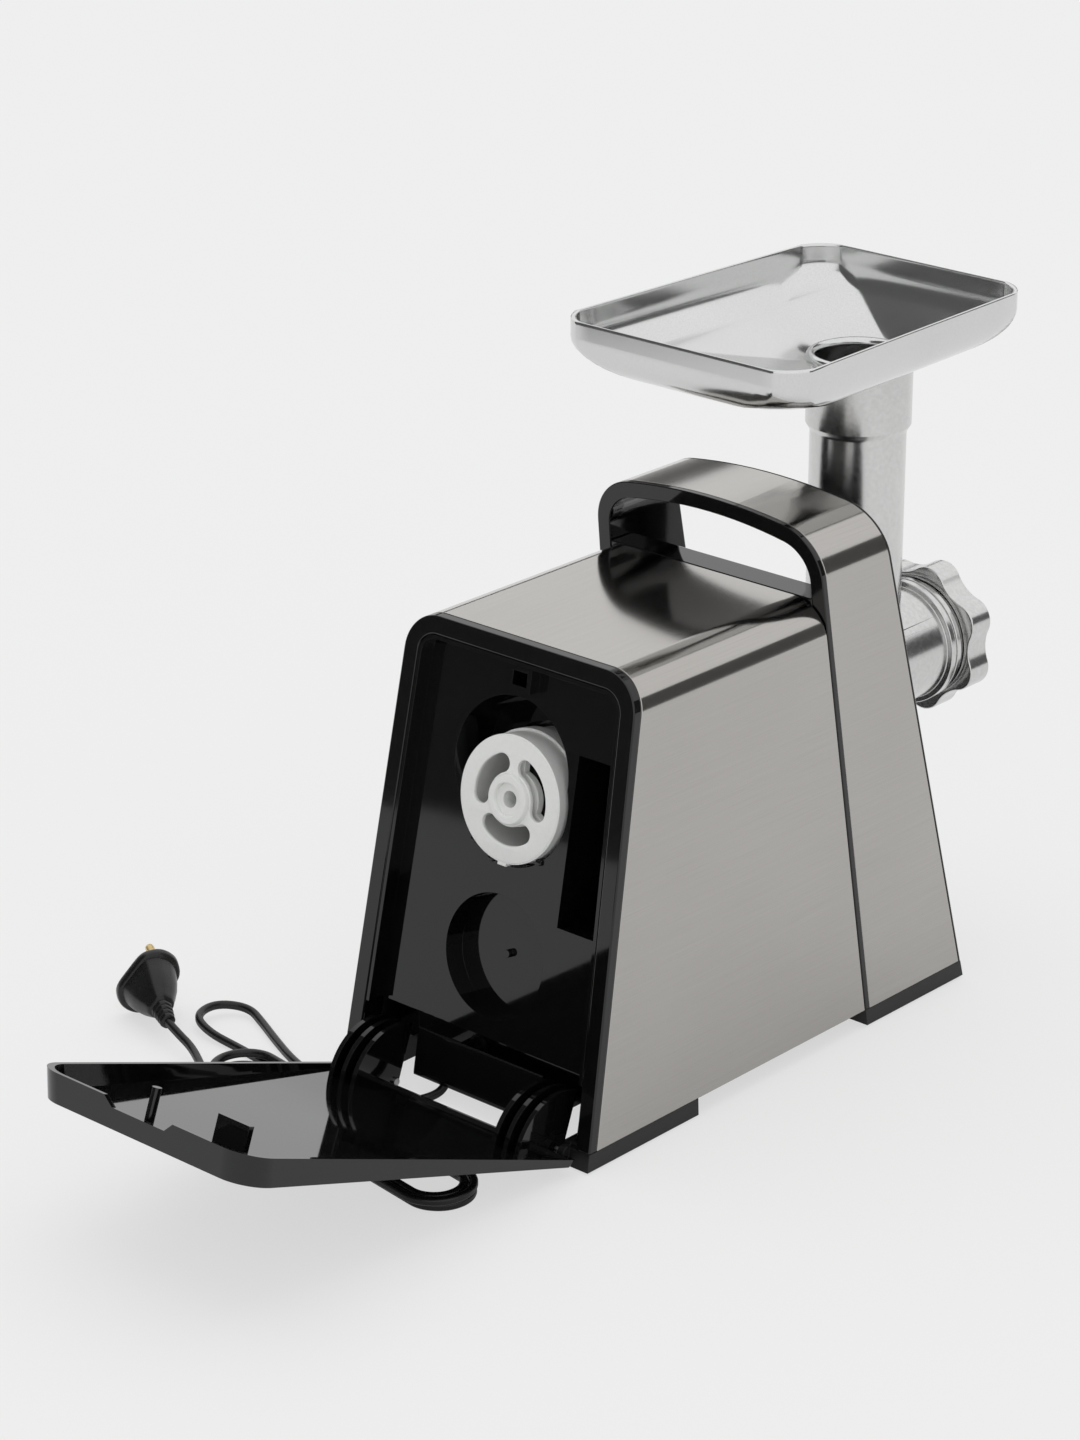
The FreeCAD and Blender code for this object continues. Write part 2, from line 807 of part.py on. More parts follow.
def reverse_button():
    cap = rod(button_radius, V(-1.5, button_y(), 0), V(button_travel + 1.6, button_y(), 0))
    cap = cap.makeChamfer(1.0, [e for e in cap.Edges if e.BoundBox.XMin > button_travel + 1.5])
    stem = rod(button_stem, V(-switch_deep - 4, button_y(), 0), V(-1.5, button_y(), 0))
    return on_side(cap.fuse(stem).removeSplitter())


def switch_body():
    body = box(-30, -switch_deep - skin_gap, rocker_y() - 12, rocker_y() + 12, -10, 10)
    terminals = []
    for k in (-1, 0, 1):
        middle = rocker_y() + k * terminal_pitch
        terminals.append(box(-38, -30, middle - terminal_width / 2, middle + terminal_width / 2, -0.4, 0.4))
    return on_side(body.multiFuse(terminals).removeSplitter())


# Grinding head


def grinder_head():
    spigot_end = shoulder_y + spigot_length

    def turn(radius, y0, y1):
        return along_y(radius, 0, head_z, y0, y1)

    flange_y = nut_rear_y + 3
    cast = turn(spigot_radius, shoulder_y, spigot_end).multiFuse([
        turn(barrel_radius, barrel_end_y + 10, shoulder_y),
        turn(thread_radius, barrel_end_y, flange_y),
        turn(thread_radius + 1.6, flange_y, flange_y + 3.4),
        turn(thread_radius + 0.4, flange_y + 3.4, flange_y + 5.0),
        turn(thread_radius + 2.0, flange_y + 5.0, flange_y + 9.0),
        rod(tube_radius, V(0, tube_y, head_z), V(0, tube_y, mouth_low)),
        cone_between(tube_radius, mouth_radius, V(0, tube_y, mouth_low - 3), V(0, tube_y, mouth_low)),
        rod(mouth_radius, V(0, tube_y, mouth_low), V(0, tube_y, mouth_top))])
    cast = cast.cut(turn(barrel_bore, barrel_end_y, shoulder_y + 4))
    cast = cast.cut(turn(output_radius + fit_gap, barrel_end_y, spigot_end))
    cast = cast.cut(rod(tube_bore, V(0, tube_y, head_z), V(0, tube_y, mouth_top)))
    cast = cast.cut(rod(mouth_bore, V(0, tube_y, mouth_low + 6), V(0, tube_y, mouth_top)))
    return cast.removeSplitter()


def auger():
    """Feed screw: a tapered core with a coiling flight, a hex tail and a square nose."""
    tail_y, rear, front = shoulder_y + 14, shoulder_y + 3.6, knife_rear_y() + 0.2
    core = cone_between(15.0, 11.0, V(0, front, head_z), V(0, rear, head_z))
    reach = barrel_bore - 0.7
    steps = int(flight_turns * blades_per_turn)
    rise = (rear - front - flight_root - 1) / steps
    blades = []
    for k in range(steps + 1):
        turn, y = 2 * math.pi * k / blades_per_turn, front + 0.5 + rise * k
        out = V(math.cos(turn), 0, math.sin(turn))
        centre = V(0, y, head_z)
        crest = (flight_root - flight_crest) / 2
        tip, root = centre + out * reach + V(0, crest, 0), centre + out * flight_foot
        blades.append([root, tip, tip + V(0, flight_crest, 0), root + V(0, flight_root, 0)])
    flight = stack(blades, split=True)
    tail = hex_bar(drive_hex, rear, tail_y)
    nose = box(-5, 5, cutter_rear_y() - cutter_thick + 0.5, front, head_z - 5, head_z + 5)
    stub = nose.common(box(-REACH, REACH, cutter_rear_y(), REACH, -REACH, REACH))
    pin = along_y(4.4, 0, head_z, cutter_rear_y() - cutter_thick + 0.3, cutter_rear_y())
    return core.multiFuse([flight, tail, stub, pin]).removeSplitter()


def hex_bar(across_flats, y0, y1):
    """Six-sided bar on the head's axis."""
    reach = across_flats / math.sqrt(3)
    turns = [math.radians(60 * k + 30) for k in range(6)]
    return prism([V(reach * math.cos(t), y0, head_z + reach * math.sin(t)) for t in turns], V(0, y1 - y0, 0))


def cutter_rear_y():
    return barrel_end_y - 0.1


def knife_rear_y():
    return cutter_rear_y() + knife_thick + 0.2


def knife():
    """Four-bladed cross knife with raked blades on a square hub."""
    front, rear = cutter_rear_y() + 0.2, cutter_rear_y() + 0.2 + knife_thick
    hub = along_y(11.0, 0, head_z, front, rear)
    blades = []
    for k in range(4):
        profile = [V(-4.5, front, head_z), V(4.5, front, head_z), V(1.5, rear, head_z), V(-3.5, rear, head_z)]
        blade = prism(profile, V(0, 0, barrel_bore - 1.5))
        blade.rotate(V(0, 0, head_z), V(0, 1, 0), 90 * k)
        blades.append(blade)
    cross = hub.multiFuse(blades)
    return cross.cut(box(-5.1, 5.1, -REACH, REACH, head_z - 5.1, head_z + 5.1)).removeSplitter()


def cutting_plate():
    radius = thread_radius - 0.4
    plate = along_y(radius, 0, head_z, cutter_rear_y() - cutter_thick, cutter_rear_y())
    for circle, count, start in ((11.0, 4, 0.0), (20.5, 9, 8.0)):
        for k in range(count):
            a = math.radians(start + 360.0 * k / count)
            hole = along_y(plate_hole, circle * math.cos(a), head_z + circle * math.sin(a), -REACH, 0)
            plate = plate.cut(hole)
    return plate.cut(along_y(4.5, 0, head_z, -REACH, 0))


def ring_nut():
    """Screw ring with a wavy grip, an inside seat for the thread and a front lip."""
    inflection = (nut_lobe_radius + nut_valley_radius) / 2
    step = 2 * math.pi / nut_lobes

    def at(radius, turn):
        return V(radius * math.cos(turn), nut_rear_y, head_z + radius * math.sin(turn))

    edges = []
    for k in range(nut_lobes):
        a = step * k
        start, turn, end = (at(inflection, a + k * step / 4) for k in (-1, 1, 3))
        edges.append(Part.Arc(start, at(nut_lobe_radius, a), turn).toShape())
        edges.append(Part.Arc(turn, at(nut_valley_radius, a + step / 2), end).toShape())
    grip = Part.Face(Part.Wire(edges)).extrude(V(0, -nut_depth, 0))
    front = nut_rear_y - nut_depth
    seat_y = cutter_rear_y() - cutter_thick - 0.2
    lip_bore = thread_radius - nut_lip
    nose = along_y(nut_valley_radius - 0.5, 0, head_z, seat_y - nut_lip, nut_rear_y)
    nut = grip.fuse(nose).cut(along_y(thread_radius + fit_gap, 0, head_z, seat_y, nut_rear_y + 1))
    open_y = min(front, seat_y - nut_lip) - 1
    return nut.cut(along_y(lip_bore, 0, head_z, open_y, nut_rear_y)).removeSplitter()


# Hopper tray


def tray_spread():
    """How fast the tray widens towards the rear, on each side."""
    return (tray_rear_width - tray_front_width) / (2 * (tray_rear_y - tray_front_y))


def tray_corners(inset, z):
    """Corners of the tray's tapered outline, with every side moved inward."""
    front_y, rear_y = tray_front_y + inset, tray_rear_y - inset
    side = inset * math.hypot(1, tray_spread())
    front = tray_front_width / 2 + tray_spread() * inset - side
    rear = tray_rear_width / 2 - tray_spread() * inset - side
    return [V(-front, front_y, z), V(front, front_y, z), V(rear, rear_y, z), V(-rear, rear_y, z)]


def throat_corners(half, z):
    """Small outline round the feed tube, with sides parallel to the tray's."""
    flare = half * tray_spread()
    return [V(-half + flare, tube_y - half, z), V(half - flare, tube_y - half, z),
            V(half + flare, tube_y + half, z), V(-half - flare, tube_y + half, z)]


def tray_form(inset, lift, top):
    """Pressed dish: upright walls, a turn in three flats and a four-sided floor that falls to the throat."""
    turn_z = tray_rim_z - tray_wall_height + lift
    throat_z = mouth_top + fit_gap + lift
    walls = prism(tray_corners(inset, throat_z), V(0, 0, top - throat_z))
    upright = [e for e in walls.Edges if abs(e.Length - (top - throat_z)) < 1e-6]
    walls = walls.makeFillet(tray_corner - inset, upright)
    outlines = [throat_corners(mouth_radius - inset, throat_z), tray_corners(inset, top)]
    for k in range(3):
        lean = math.radians(15 + 30 * k)
        step, rise = tray_turn * (1 - math.sin(lean)), tray_turn * (1 - math.cos(lean))
        outlines.insert(k + 1, tray_corners(inset + step, turn_z + rise))
    return walls.common(stack(outlines)).removeSplitter()


def hopper_tray():
    dish = tray_form(0, 0, tray_rim_z).cut(tray_form(tray_sheet, tray_sheet, tray_rim_z + tray_sheet))
    low, high = mouth_top - tray_neck_depth, mouth_top + fit_gap + tray_sheet / 2
    neck = rod(tray_neck_radius, V(0, tube_y, low), V(0, tube_y, high + tray_sheet))
    bore = rod(tray_neck_radius - tray_sheet, V(0, tube_y, low - 1), V(0, tube_y, high + 6))
    return dish.fuse(neck).cut(bore).removeSplitter()


# Gear train


def gear_places():
    """Axes of the output, second, first and motor gears in the X-Z plane."""
    span_3 = module_3 * (pinion_3_teeth + wheel_3_teeth) / 2
    span_2 = module_2 * (pinion_2_teeth + wheel_2_teeth) / 2
    span_1 = module_1 * (pinion_teeth + wheel_1_teeth) / 2
    second_z = head_z - math.sqrt(span_3 ** 2 - layshaft_2_x ** 2)
    first_z = second_z - math.sqrt(span_2 ** 2 - (layshaft_1_x - layshaft_2_x) ** 2)
    motor_z = first_z - math.sqrt(span_1 ** 2 - layshaft_1_x ** 2)
    return (0, head_z), (layshaft_2_x, second_z), (layshaft_1_x, first_z), (0, motor_z)


OUTPUT, SECOND, FIRST, MOTOR = gear_places()
stage_3_y = cover_front_y + cover_thick + gear_gap
stage_2_y = stage_3_y + face_3 + gear_gap
stage_1_y = stage_2_y + face_2 + gear_gap
case_rear_y = stage_1_y + face_1 + gear_gap


def direction(here, there):
    return math.atan2(there[1] - here[1], there[0] - here[0])


def gear(module, teeth, tooth_turn, place, y0, width):
    """Spur gear whose flanks are chords of the involute; tooth_turn is where one tooth points."""
    pitch = module * teeth / 2
    tip, root = pitch + tooth_addendum * module, pitch - tooth_dedendum * module
    lean = math.radians(pressure_angle)
    base = pitch * math.cos(lean)
    half_at_pitch = (math.pi * module / 4 - tooth_play / 2) / pitch

    def half_angle(radius):
        swing = math.acos(base / radius) if radius > base else 0.0
        return half_at_pitch + (math.tan(lean) - lean) - (math.tan(swing) - swing)

    points = []
    for k in range(teeth):
        centre = tooth_turn + 2 * math.pi * k / teeth
        for radius, side in ((root, -1), (tip, -1), (tip, 1), (root, 1)):
            turn = centre + side * half_angle(radius)
            points.append(V(place[0] + radius * math.cos(turn), y0, place[1] + radius * math.sin(turn)))
    return prism(points, V(0, width, 0))


def gap_facing(here, there, teeth):
    return direction(here, there) + math.pi / teeth


def motor_pinion():
    blank = gear(module_1, pinion_teeth, direction(MOTOR, FIRST), MOTOR, stage_1_y, face_1)
    return blank.cut(along_y(pinion_bore(), MOTOR[0], MOTOR[1], -REACH, REACH))


def pinion_bore():
    return module_1 * (pinion_teeth / 2 - tooth_dedendum) - 1.6


def compound_gear(place, wheel, pinion, bore):
    joined = wheel.fuse(pinion)
    return joined.cut(along_y(bore, place[0], place[1], -REACH, REACH)).removeSplitter()


def first_gear():
    wheel = gear(module_1, wheel_1_teeth, gap_facing(FIRST, MOTOR, wheel_1_teeth), FIRST, stage_1_y, face_1)
    small = gear(module_2, pinion_2_teeth, direction(FIRST, SECOND), FIRST, stage_2_y, face_2 + gear_gap)
    return compound_gear(FIRST, wheel, small, layshaft_radius + pin_running)


def second_gear():
    wheel = gear(module_2, wheel_2_teeth, gap_facing(SECOND, FIRST, wheel_2_teeth), SECOND, stage_2_y, face_2)
    small = gear(module_3, pinion_3_teeth, direction(SECOND, OUTPUT), SECOND, stage_3_y, face_3 + gear_gap)
    return compound_gear(SECOND, wheel, small, layshaft_radius + pin_running)


def output_gear():
    start = gap_facing(OUTPUT, SECOND, wheel_3_teeth)
    wheel = gear(module_3, wheel_3_teeth, start, OUTPUT, stage_3_y, face_3)
    return wheel.cut(along_y(output_radius, 0, head_z, -REACH, REACH))


def output_shaft():
    """Drive shaft with a hex socket in its front end for the feed screw's tail."""
    front = shoulder_y + 4.4
    shaft = along_y(output_radius, 0, head_z, front, stage_3_y + face_3 + 2)
    shaft = shaft.fuse(along_y(6.0, 0, head_z, stage_3_y + face_3, case_rear_y + case_rear_wall - 0.5))
    return shaft.cut(hex_bar(drive_hex + 2 * hex_play, front, front + hex_depth)).removeSplitter()


def case_outline(margin, y0, y1):
    """Gearbox outline: a round lobe over each gear."""
    tip_1 = module_1 * (wheel_1_teeth / 2 + 1)
    tip_2 = module_2 * (wheel_2_teeth / 2 + 1)
    tip_3 = module_3 * (wheel_3_teeth / 2 + 1)
    tip_0 = bearing_radius + 1
    lobes = ((OUTPUT, tip_3), (SECOND, tip_2), (FIRST, tip_1), (MOTOR, tip_0))
    return fuse_all([along_y(tip + margin, place[0], place[1], y0, y1) for place, tip in lobes])


def gearbox_case():
    outer = case_outline(1.5 + case_wall, cover_front_y + cover_thick, case_rear_y + case_rear_wall)
    inner = case_outline(1.5, cover_front_y + cover_thick, case_rear_y)
    rear = case_rear_y + case_rear_wall
    pedestal = box(-pedestal_half, pedestal_half, cover_front_y + cover_thick + 6, rear, plate_top, MOTOR[1])
    nose = along_y(bearing_radius + 3, MOTOR[0], MOTOR[1], case_rear_y, case_rear_y + case_rear_wall + 5)
    case = outer.multiFuse([pedestal, nose]).cut(inner)
    case = case.cut(along_y(6.0 + pin_running, 0, head_z, case_rear_y, case_rear_y + case_rear_wall))
    case = case.cut(along_y(bearing_radius, MOTOR[0], MOTOR[1], front_bearing_y(), REACH))
    case = case.cut(along_y(motor_shaft_radius + 1.5, MOTOR[0], MOTOR[1], -REACH, REACH))
    for place in (FIRST, SECOND):
        blind_end = case_rear_y + case_rear_wall - 1
        case = case.cut(along_y(layshaft_radius, place[0], place[1], -REACH, blind_end))
    return case.removeSplitter()


def front_bearing_y():
    return case_rear_y + case_rear_wall + 5 - bearing_width


def gearbox_cover():
    plate = case_outline(1.5 + case_wall, cover_front_y, cover_front_y + cover_thick)
    boss = along_y(output_radius + 8, 0, head_z, cover_front_y - bush_nose, cover_front_y)
    cover = plate.fuse(boss)
    cover = cover.cut(along_y(output_radius + 4, 0, head_z, -REACH, REACH))
    for place in (FIRST, SECOND):
        cover = cover.cut(along_y(layshaft_radius, place[0], place[1], cover_front_y + 1, REACH))
    return cover.removeSplitter()


def output_bush():
    front, rear = cover_front_y - bush_nose, cover_front_y + cover_thick
    return ring(output_radius + 4, output_radius + pin_running, V(0, front, head_z), V(0, rear, head_z))


def layshaft(place):
    return along_y(layshaft_radius, place[0], place[1], cover_front_y + 1, case_rear_y + case_rear_wall - 1)


# Motor


stator_y = case_rear_y + case_rear_wall + motor_space
commutator_y = stator_y + stator_length + 9
rear_bracket_y = commutator_y + commutator_length + 8


def at_motor(radius, y0, y1):
    return along_y(radius, MOTOR[0], MOTOR[1], y0, y1)


def motor_shaft():
    core = at_motor(motor_shaft_radius, stage_1_y + face_1 + 1, rear_bracket_y + bearing_width)
    return core.fuse(at_motor(pinion_bore(), stage_1_y, stage_1_y + face_1 + 1)).removeSplitter()


def armature():
    core = at_motor(stator_bore - air_gap, stator_y, stator_y + stator_length)
    for k in range(armature_slots):
        slot = box(-1.4, 1.4, -REACH, REACH, MOTOR[1] + stator_bore - air_gap - 7, MOTOR[1] + REACH)
        slot.rotate(V(MOTOR[0], 0, MOTOR[1]), V(0, 1, 0), 360.0 * k / armature_slots)
        core = core.cut(slot)
    ends = [at_motor(stator_bore - air_gap - 8, stator_y - 6, stator_y),
            at_motor(stator_bore - air_gap - 8, stator_y + stator_length, stator_y + stator_length + 6)]
    return core.multiFuse(ends).cut(at_motor(motor_shaft_radius, -REACH, REACH)).removeSplitter()


def commutator():
    drum = at_motor(commutator_radius, commutator_y, commutator_y + commutator_length)
    return drum.cut(at_motor(motor_shaft_radius, -REACH, REACH))


def cooling_fan():
    y0 = stator_y - fan_ahead
    hub = at_motor(fan_hub_radius, y0, y0 + fan_depth)
    disc = at_motor(fan_radius, y0, y0 + fan_sheet)
    blades = []
    for k in range(fan_blades):
        foot, half = MOTOR[1] + motor_shaft_radius + fan_sheet, fan_sheet / 2
        blade = box(-half, half, y0, y0 + fan_depth - 1, foot, MOTOR[1] + fan_radius)
        blade.rotate(V(MOTOR[0], 0, MOTOR[1]), V(0, 1, 0), 360.0 * k / fan_blades)
        blades.append(blade)
    fan = hub.multiFuse([disc] + blades)
    return fan.cut(at_motor(motor_shaft_radius, -REACH, REACH)).removeSplitter()


def coil_window(margin):
    """Two round-ended windows beside the bore, where the field coils lie."""
    x0, x1 = stator_bore - coil_overlap + margin, stator_width / 2 - coil_side_wall - margin
    half = stator_height / 2 - coil_top_wall - margin
    sides = []
    for side in (-1, 1):
        low, high = sorted((side * x0, side * x1))
        sides.append((low, high, half))
    return sides


def motor_stator():
    half = stator_width / 2
    low, high = MOTOR[1] - stator_height / 2, MOTOR[1] + stator_height / 2
    pack = box(-half, half, stator_y, stator_y + stator_length, low, high)
    pack = pack.makeFillet(stator_corner, [e for e in pack.Edges if abs(e.Length - stator_length) < 1e-6])
    pack = pack.cut(at_motor(stator_bore, -REACH, REACH))
    for left, right, tall in coil_window(0):
        pack = pack.cut(box(left, right, -REACH, REACH, MOTOR[1] - tall, MOTOR[1] + tall))
    return pack.removeSplitter()


def field_coils():
    coils = []
    for low, high, tall in coil_window(fit_gap):
        start, end = stator_y - coil_end, stator_y + stator_length + coil_end
        bundle = box(low, high, start, end, MOTOR[1] - tall, MOTOR[1] + tall)
        long_edges = [e for e in bundle.Edges if abs(e.Length - (end - start)) < 1e-6]
        bundle = bundle.makeFillet(coil_round, long_edges)
        coils.append(bundle.cut(at_motor(stator_bore, -REACH, REACH)))
    return group(coils)


def motor_cradle():
    """Saddle that carries the stator on the base."""
    low = MOTOR[1] - stator_height / 2
    start, end = stator_y + cradle_inset, stator_y + stator_length - cradle_inset
    strip = box(-strip_half, strip_half, start, end, plate_top, plate_top + strip_thick)
    half, deep = cradle_half, cradle_leg
    legs = [box(-half, half, y, y + deep, plate_top, low) for y in (start, end - deep)]
    return strip.multiFuse(legs).removeSplitter()


def motor_rear_bracket():
    """Cross bridge behind the stator: two arms, a bearing boss and the brush bores."""
    boss = at_motor(bearing_radius + 4, rear_bracket_y, rear_bracket_y + bearing_width + 2)
    outer = stator_height / 2 - arm_inset
    rear = rear_bracket_y + arm_thick
    bridge = box(-8, 8, rear_bracket_y, rear, MOTOR[1] - outer, MOTOR[1] + outer)
    arms = []
    for side in (-1, 1):
        low, high = sorted((MOTOR[1] + side * outer, MOTOR[1] + side * (outer - arm_thick)))
        arms.append(box(-8, 8, stator_y + stator_length, rear, low, high))
    bracket = boss.multiFuse([bridge] + arms)
    bracket = bracket.cut(at_motor(bearing_radius, rear_bracket_y + 2, REACH))
    return bracket.cut(at_motor(motor_shaft_radius + 1.5, -REACH, REACH)).removeSplitter()


def motor_bearings():
    bore = motor_shaft_radius + pin_running
    races = []
    for y in (front_bearing_y(), rear_bracket_y + 2):
        races.append(at_motor(bearing_radius - 0.02, y, y + bearing_width).cut(at_motor(bore, -REACH, REACH)))
    return group(races)


def brush_holders():
    """Two brass guides hung on the bridge's arms, with a carbon brush running on the commutator."""
    holders = []
    y = commutator_y + 3
    for side in (-1, 1):
        low = MOTOR[1] + side * (commutator_radius + 4)
        far = MOTOR[1] + side * (stator_height / 2 - arm_inset - arm_thick)
        guide = box(-4.5, 4.5, y, y + 11, *sorted((low, far)))
        bore = box(-3.0, 3.0, y + 1.5, y + 9.5, *sorted((low - side * 1, far - side * 1.5)))
        holders.append(guide.cut(bore))
    return group(holders)


def carbon_brushes():
    brushes = []
    y = commutator_y + 3
    for side in (-1, 1):
        near = MOTOR[1] + side * (commutator_radius + 0.1)
        far = MOTOR[1] + side * (commutator_radius + 11)
        brushes.append(box(-2.8, 2.8, y + 1.7, y + 9.3, *sorted((near, far))))
    return group(brushes)


# Mains cord


def cord_gland():
    """Moulded sleeve that takes the cord out of the bay's back wall."""
    y0 = rear_y - bay_depth
    root = along_y(gland_radius() - skin_gap, gland_x, gland_z, y0 - liner_wall, y0)
    flange = along_y(gland_radius() + gland_flange, gland_x, gland_z, y0, y0 + gland_flange)
    start, end = V(gland_x, y0 + gland_flange, gland_z), V(gland_x, y0 + gland_length, gland_z)
    sleeve = cone_between(gland_radius(), cord_radius + 1.0, start, end)
    return root.multiFuse([flange, sleeve]).removeSplitter()


def bend_path(points):
    """Straight runs joined by tangent arcs, each as large as its runs allow; prints the radii."""
    cuts = []
    radii = []
    for back, here, ahead in zip(points, points[1:], points[2:]):
        to_back, to_ahead = back - here, ahead - here
        shorter = min(to_back.Length, to_ahead.Length)
        turn = math.pi - to_back.getAngle(to_ahead)
        reach = 0.45 * shorter
        radius = reach / math.tan(turn / 2)
        radii.append(round(radius, 1))
        a, b = here + to_back.normalize() * reach, here + to_ahead.normalize() * reach
        bisector = (to_back + to_ahead).normalize()
        middle = here + bisector * (radius / math.cos(turn / 2) - radius)
        cuts.append((a, middle, b))
    edges, last = [], points[0]
    for a, middle, b in cuts:
        edges.append(Part.LineSegment(last, a).toShape())
        edges.append(Part.Arc(a, middle, b).toShape())
        last = b
    edges.append(Part.LineSegment(last, points[-1]).toShape())
    return Part.Wire(edges), radii


def cord_tube(wire, name, radii):
    """Eight-sided tube: straight runs are pushed along, arcs turn the section about their centre."""
    heading = wire.Edges[0].tangentAt(wire.Edges[0].FirstParameter)
    across = heading.cross(V(0, 0, 1)).normalize()
    upward = across.cross(heading)
    reach = cord_radius / math.cos(math.pi / cord_sides)
    pieces = []
    for edge in wire.Edges:
        start, end = edge.valueAt(edge.FirstParameter), edge.valueAt(edge.LastParameter)
        turns = [2 * math.pi * (k + 0.5) / cord_sides for k in range(cord_sides)]
        corners = [start + across * (reach * math.cos(t)) + upward * (reach * math.sin(t)) for t in turns]
        section = Part.Face(Part.makePolygon(corners + corners[:1]))
        if isinstance(edge.Curve, Part.Circle):
            swing = edge.LastParameter - edge.FirstParameter
            pieces.append(section.revolve(edge.Curve.Center, edge.Curve.Axis, math.degrees(swing)))
            turn = FreeCAD.Rotation(edge.Curve.Axis, math.degrees(swing))
            across, upward = turn.multVec(across), turn.multVec(upward)
        else:
            pieces.append(section.extrude(end - start))
    tube = fuse_all(pieces)
    plain = cord_sides * math.tan(math.pi / cord_sides) * cord_radius ** 2 * wire.Length
    print(f"{name}: length {wire.Length:.0f}, volume share {tube.Volume / plain:.4f}, radii {radii}")
    return tube


ground_z = cord_radius + cord_lift


def lead_points():
    """From the gland down through the bay, out under the door and round the loose loop to the hank."""
    y0 = rear_y - bay_depth + gland_length
    low = ground_z
    inside = [V(gland_x, y0, gland_z), V(gland_x, y0 + 13.5, gland_z), V(26, y0 + 27, low + 0.1)]
    route = [V(36, 10, low), V(56, 17, low), V(82, 16.5, low), V(106, 10, low), V(128, 0, low),
             V(148, -10, low), V(164.4, -16, low + 2), V(177.8, -4.7, low + 4), V(174.8, 12.5, low + 4),
             V(158.4, 18.5, low + 2), V(138, 18, low)]
    return inside + [p + V(0, rear_y, 0) for p in route] + [hank_start() + hank_heading() * -14, hank_start()]


def hank_heading():
    """Direction of the hank's runs, from its far end to its near end."""
    turn = math.radians(180 + hank_turn)
    return V(math.cos(turn), math.sin(turn), 0)


def hank_side():
    heading = hank_heading()
    return V(heading.y, -heading.x, 0)


def hank_point(run, side, layer):
    z = ground_z + layer * hank_pitch
    return hank_centre + hank_heading() * run + hank_side() * side + V(0, 0, z)


def hank_start():
    return hank_point(-hank_half_run, -(hank_inner + hank_pitch), 0)


def hank_end():
    return hank_point(-hank_half_run, hank_inner + 1.5 * hank_pitch, 1)


def hank_wire():
    """Three flat turns: inward on the ground, up along one run, then outward on top."""
    inner, step = hank_inner, hank_pitch
    runs = [(-(inner + step), 0, 0), (inner + step / 2, 0, 0), (-inner, 0, 1),
            (inner + step / 2, 1, 1), (-(inner + step), 1, 1), (inner + 1.5 * step, 1, 1)]
    edges = []
    for i, (side, low, high) in enumerate(runs):
        way = 1 if i % 2 == 0 else -1
        a, b = hank_point(-way * hank_half_run, side, low), hank_point(way * hank_half_run, side, high)
        if low == high:
            edges.append(Part.LineSegment(a, b).toShape())
        else:
            edges += climb(a, b)
        if i + 1 < len(runs):
            following = runs[i + 1][0]
            radius = abs(following - side) / 2
            tip = hank_point(way * (hank_half_run + radius), (side + following) / 2, high)
            edges.append(Part.Arc(b, tip, hank_point(way * hank_half_run, following, high)).toShape())
    return Part.Wire(edges)


def climb(a, b):
    """Two arcs that lift a run by one layer and leave it level."""
    flat = V(b.x - a.x, b.y - a.y, 0)
    rise = b.z - a.z
    half = flat.Length / 2
    radius = (half ** 2 + (rise / 2) ** 2) / rise
    turn = math.asin(half / radius)
    unit = flat.normalize()
    middle = (a + b) * 0.5
    quarter = radius * math.sin(turn / 2)
    sag = radius * (1 - math.cos(turn / 2))
    first = a + unit * quarter + V(0, 0, sag)
    second = b - unit * quarter - V(0, 0, sag)
    return [Part.Arc(a, first, middle).toShape(), Part.Arc(middle, second, b).toShape()]


def least_gap(wire):
    """Least distance between stretches of the hank's tube that are apart along it."""
    points = wire.discretize(Distance=4.0)
    reach = int(4 * cord_radius / 4.0) + 5
    least = REACH
    for i, p in enumerate(points):
        for q in points[i + reach:]:
            least = min(least, p.distanceToPoint(q))
    return least - 2 * cord_radius


def plug_neck():
    return V(168.8, rear_y + 40.3, 8.9)


def plug_heading():
    return V(0.7715, -0.604, 0.2).normalize()


def tail_points():
    """From the hank's end to the plug."""
    start, away = hank_end(), hank_heading() * -1
    neck, heading = plug_neck(), plug_heading()
    return [start, start + away * 13, V(146, rear_y + 56.5, ground_z + 3.9), neck - heading * 13, neck]


def on_plug(shape):
    """Move a shape drawn along +X to the plug's place, rolled onto the cut corner of its face plate."""
    turn = FreeCAD.Rotation(V(1, 0, 0), plug_heading()).multiply(FreeCAD.Rotation(V(1, 0, 0), plug_roll))
    shape.Placement = FreeCAD.Placement(plug_neck(), turn).multiply(shape.Placement)
    return shape


def plug_section(x, wide, tall, corner):
    """Oblong section with cut corners."""
    u, v = wide / 2, tall / 2
    corners = [(-u, -v + corner), (-u + corner, -v), (u - corner, -v), (u, -v + corner),
               (u, v - corner), (u - corner, v), (-u + corner, v), (-u, v - corner)]
    return [V(x, a, b) for a, b in corners]


def plug_body():
    """Moulded plug: ribbed neck, swelling body and a broad face plate."""
    neck = stack([plug_section(0, 7.5, 7, 2), plug_section(15, 11.5, 10.5, 2.5)])
    for k in range(4):
        groove = box(2.0 + 3.2 * k, 3.4 + 3.2 * k, -REACH, REACH, -REACH, REACH)
        core = box(-1, 20, -3.2 - 0.25 * k, 3.2 + 0.25 * k, -3.0 - 0.25 * k, 3.0 + 0.25 * k)
        neck = neck.cut(groove.cut(core))
    swell = stack([plug_section(15, 14, 13, 3), plug_section(27, 24, 19, 4), plug_section(39, 30, 22, 5)])
    plate = stack([plug_section(39, 36, 25.6, 7), plug_section(44, 38, 26, 7.5)])
    return on_plug(neck.multiFuse([swell, plate]).removeSplitter())


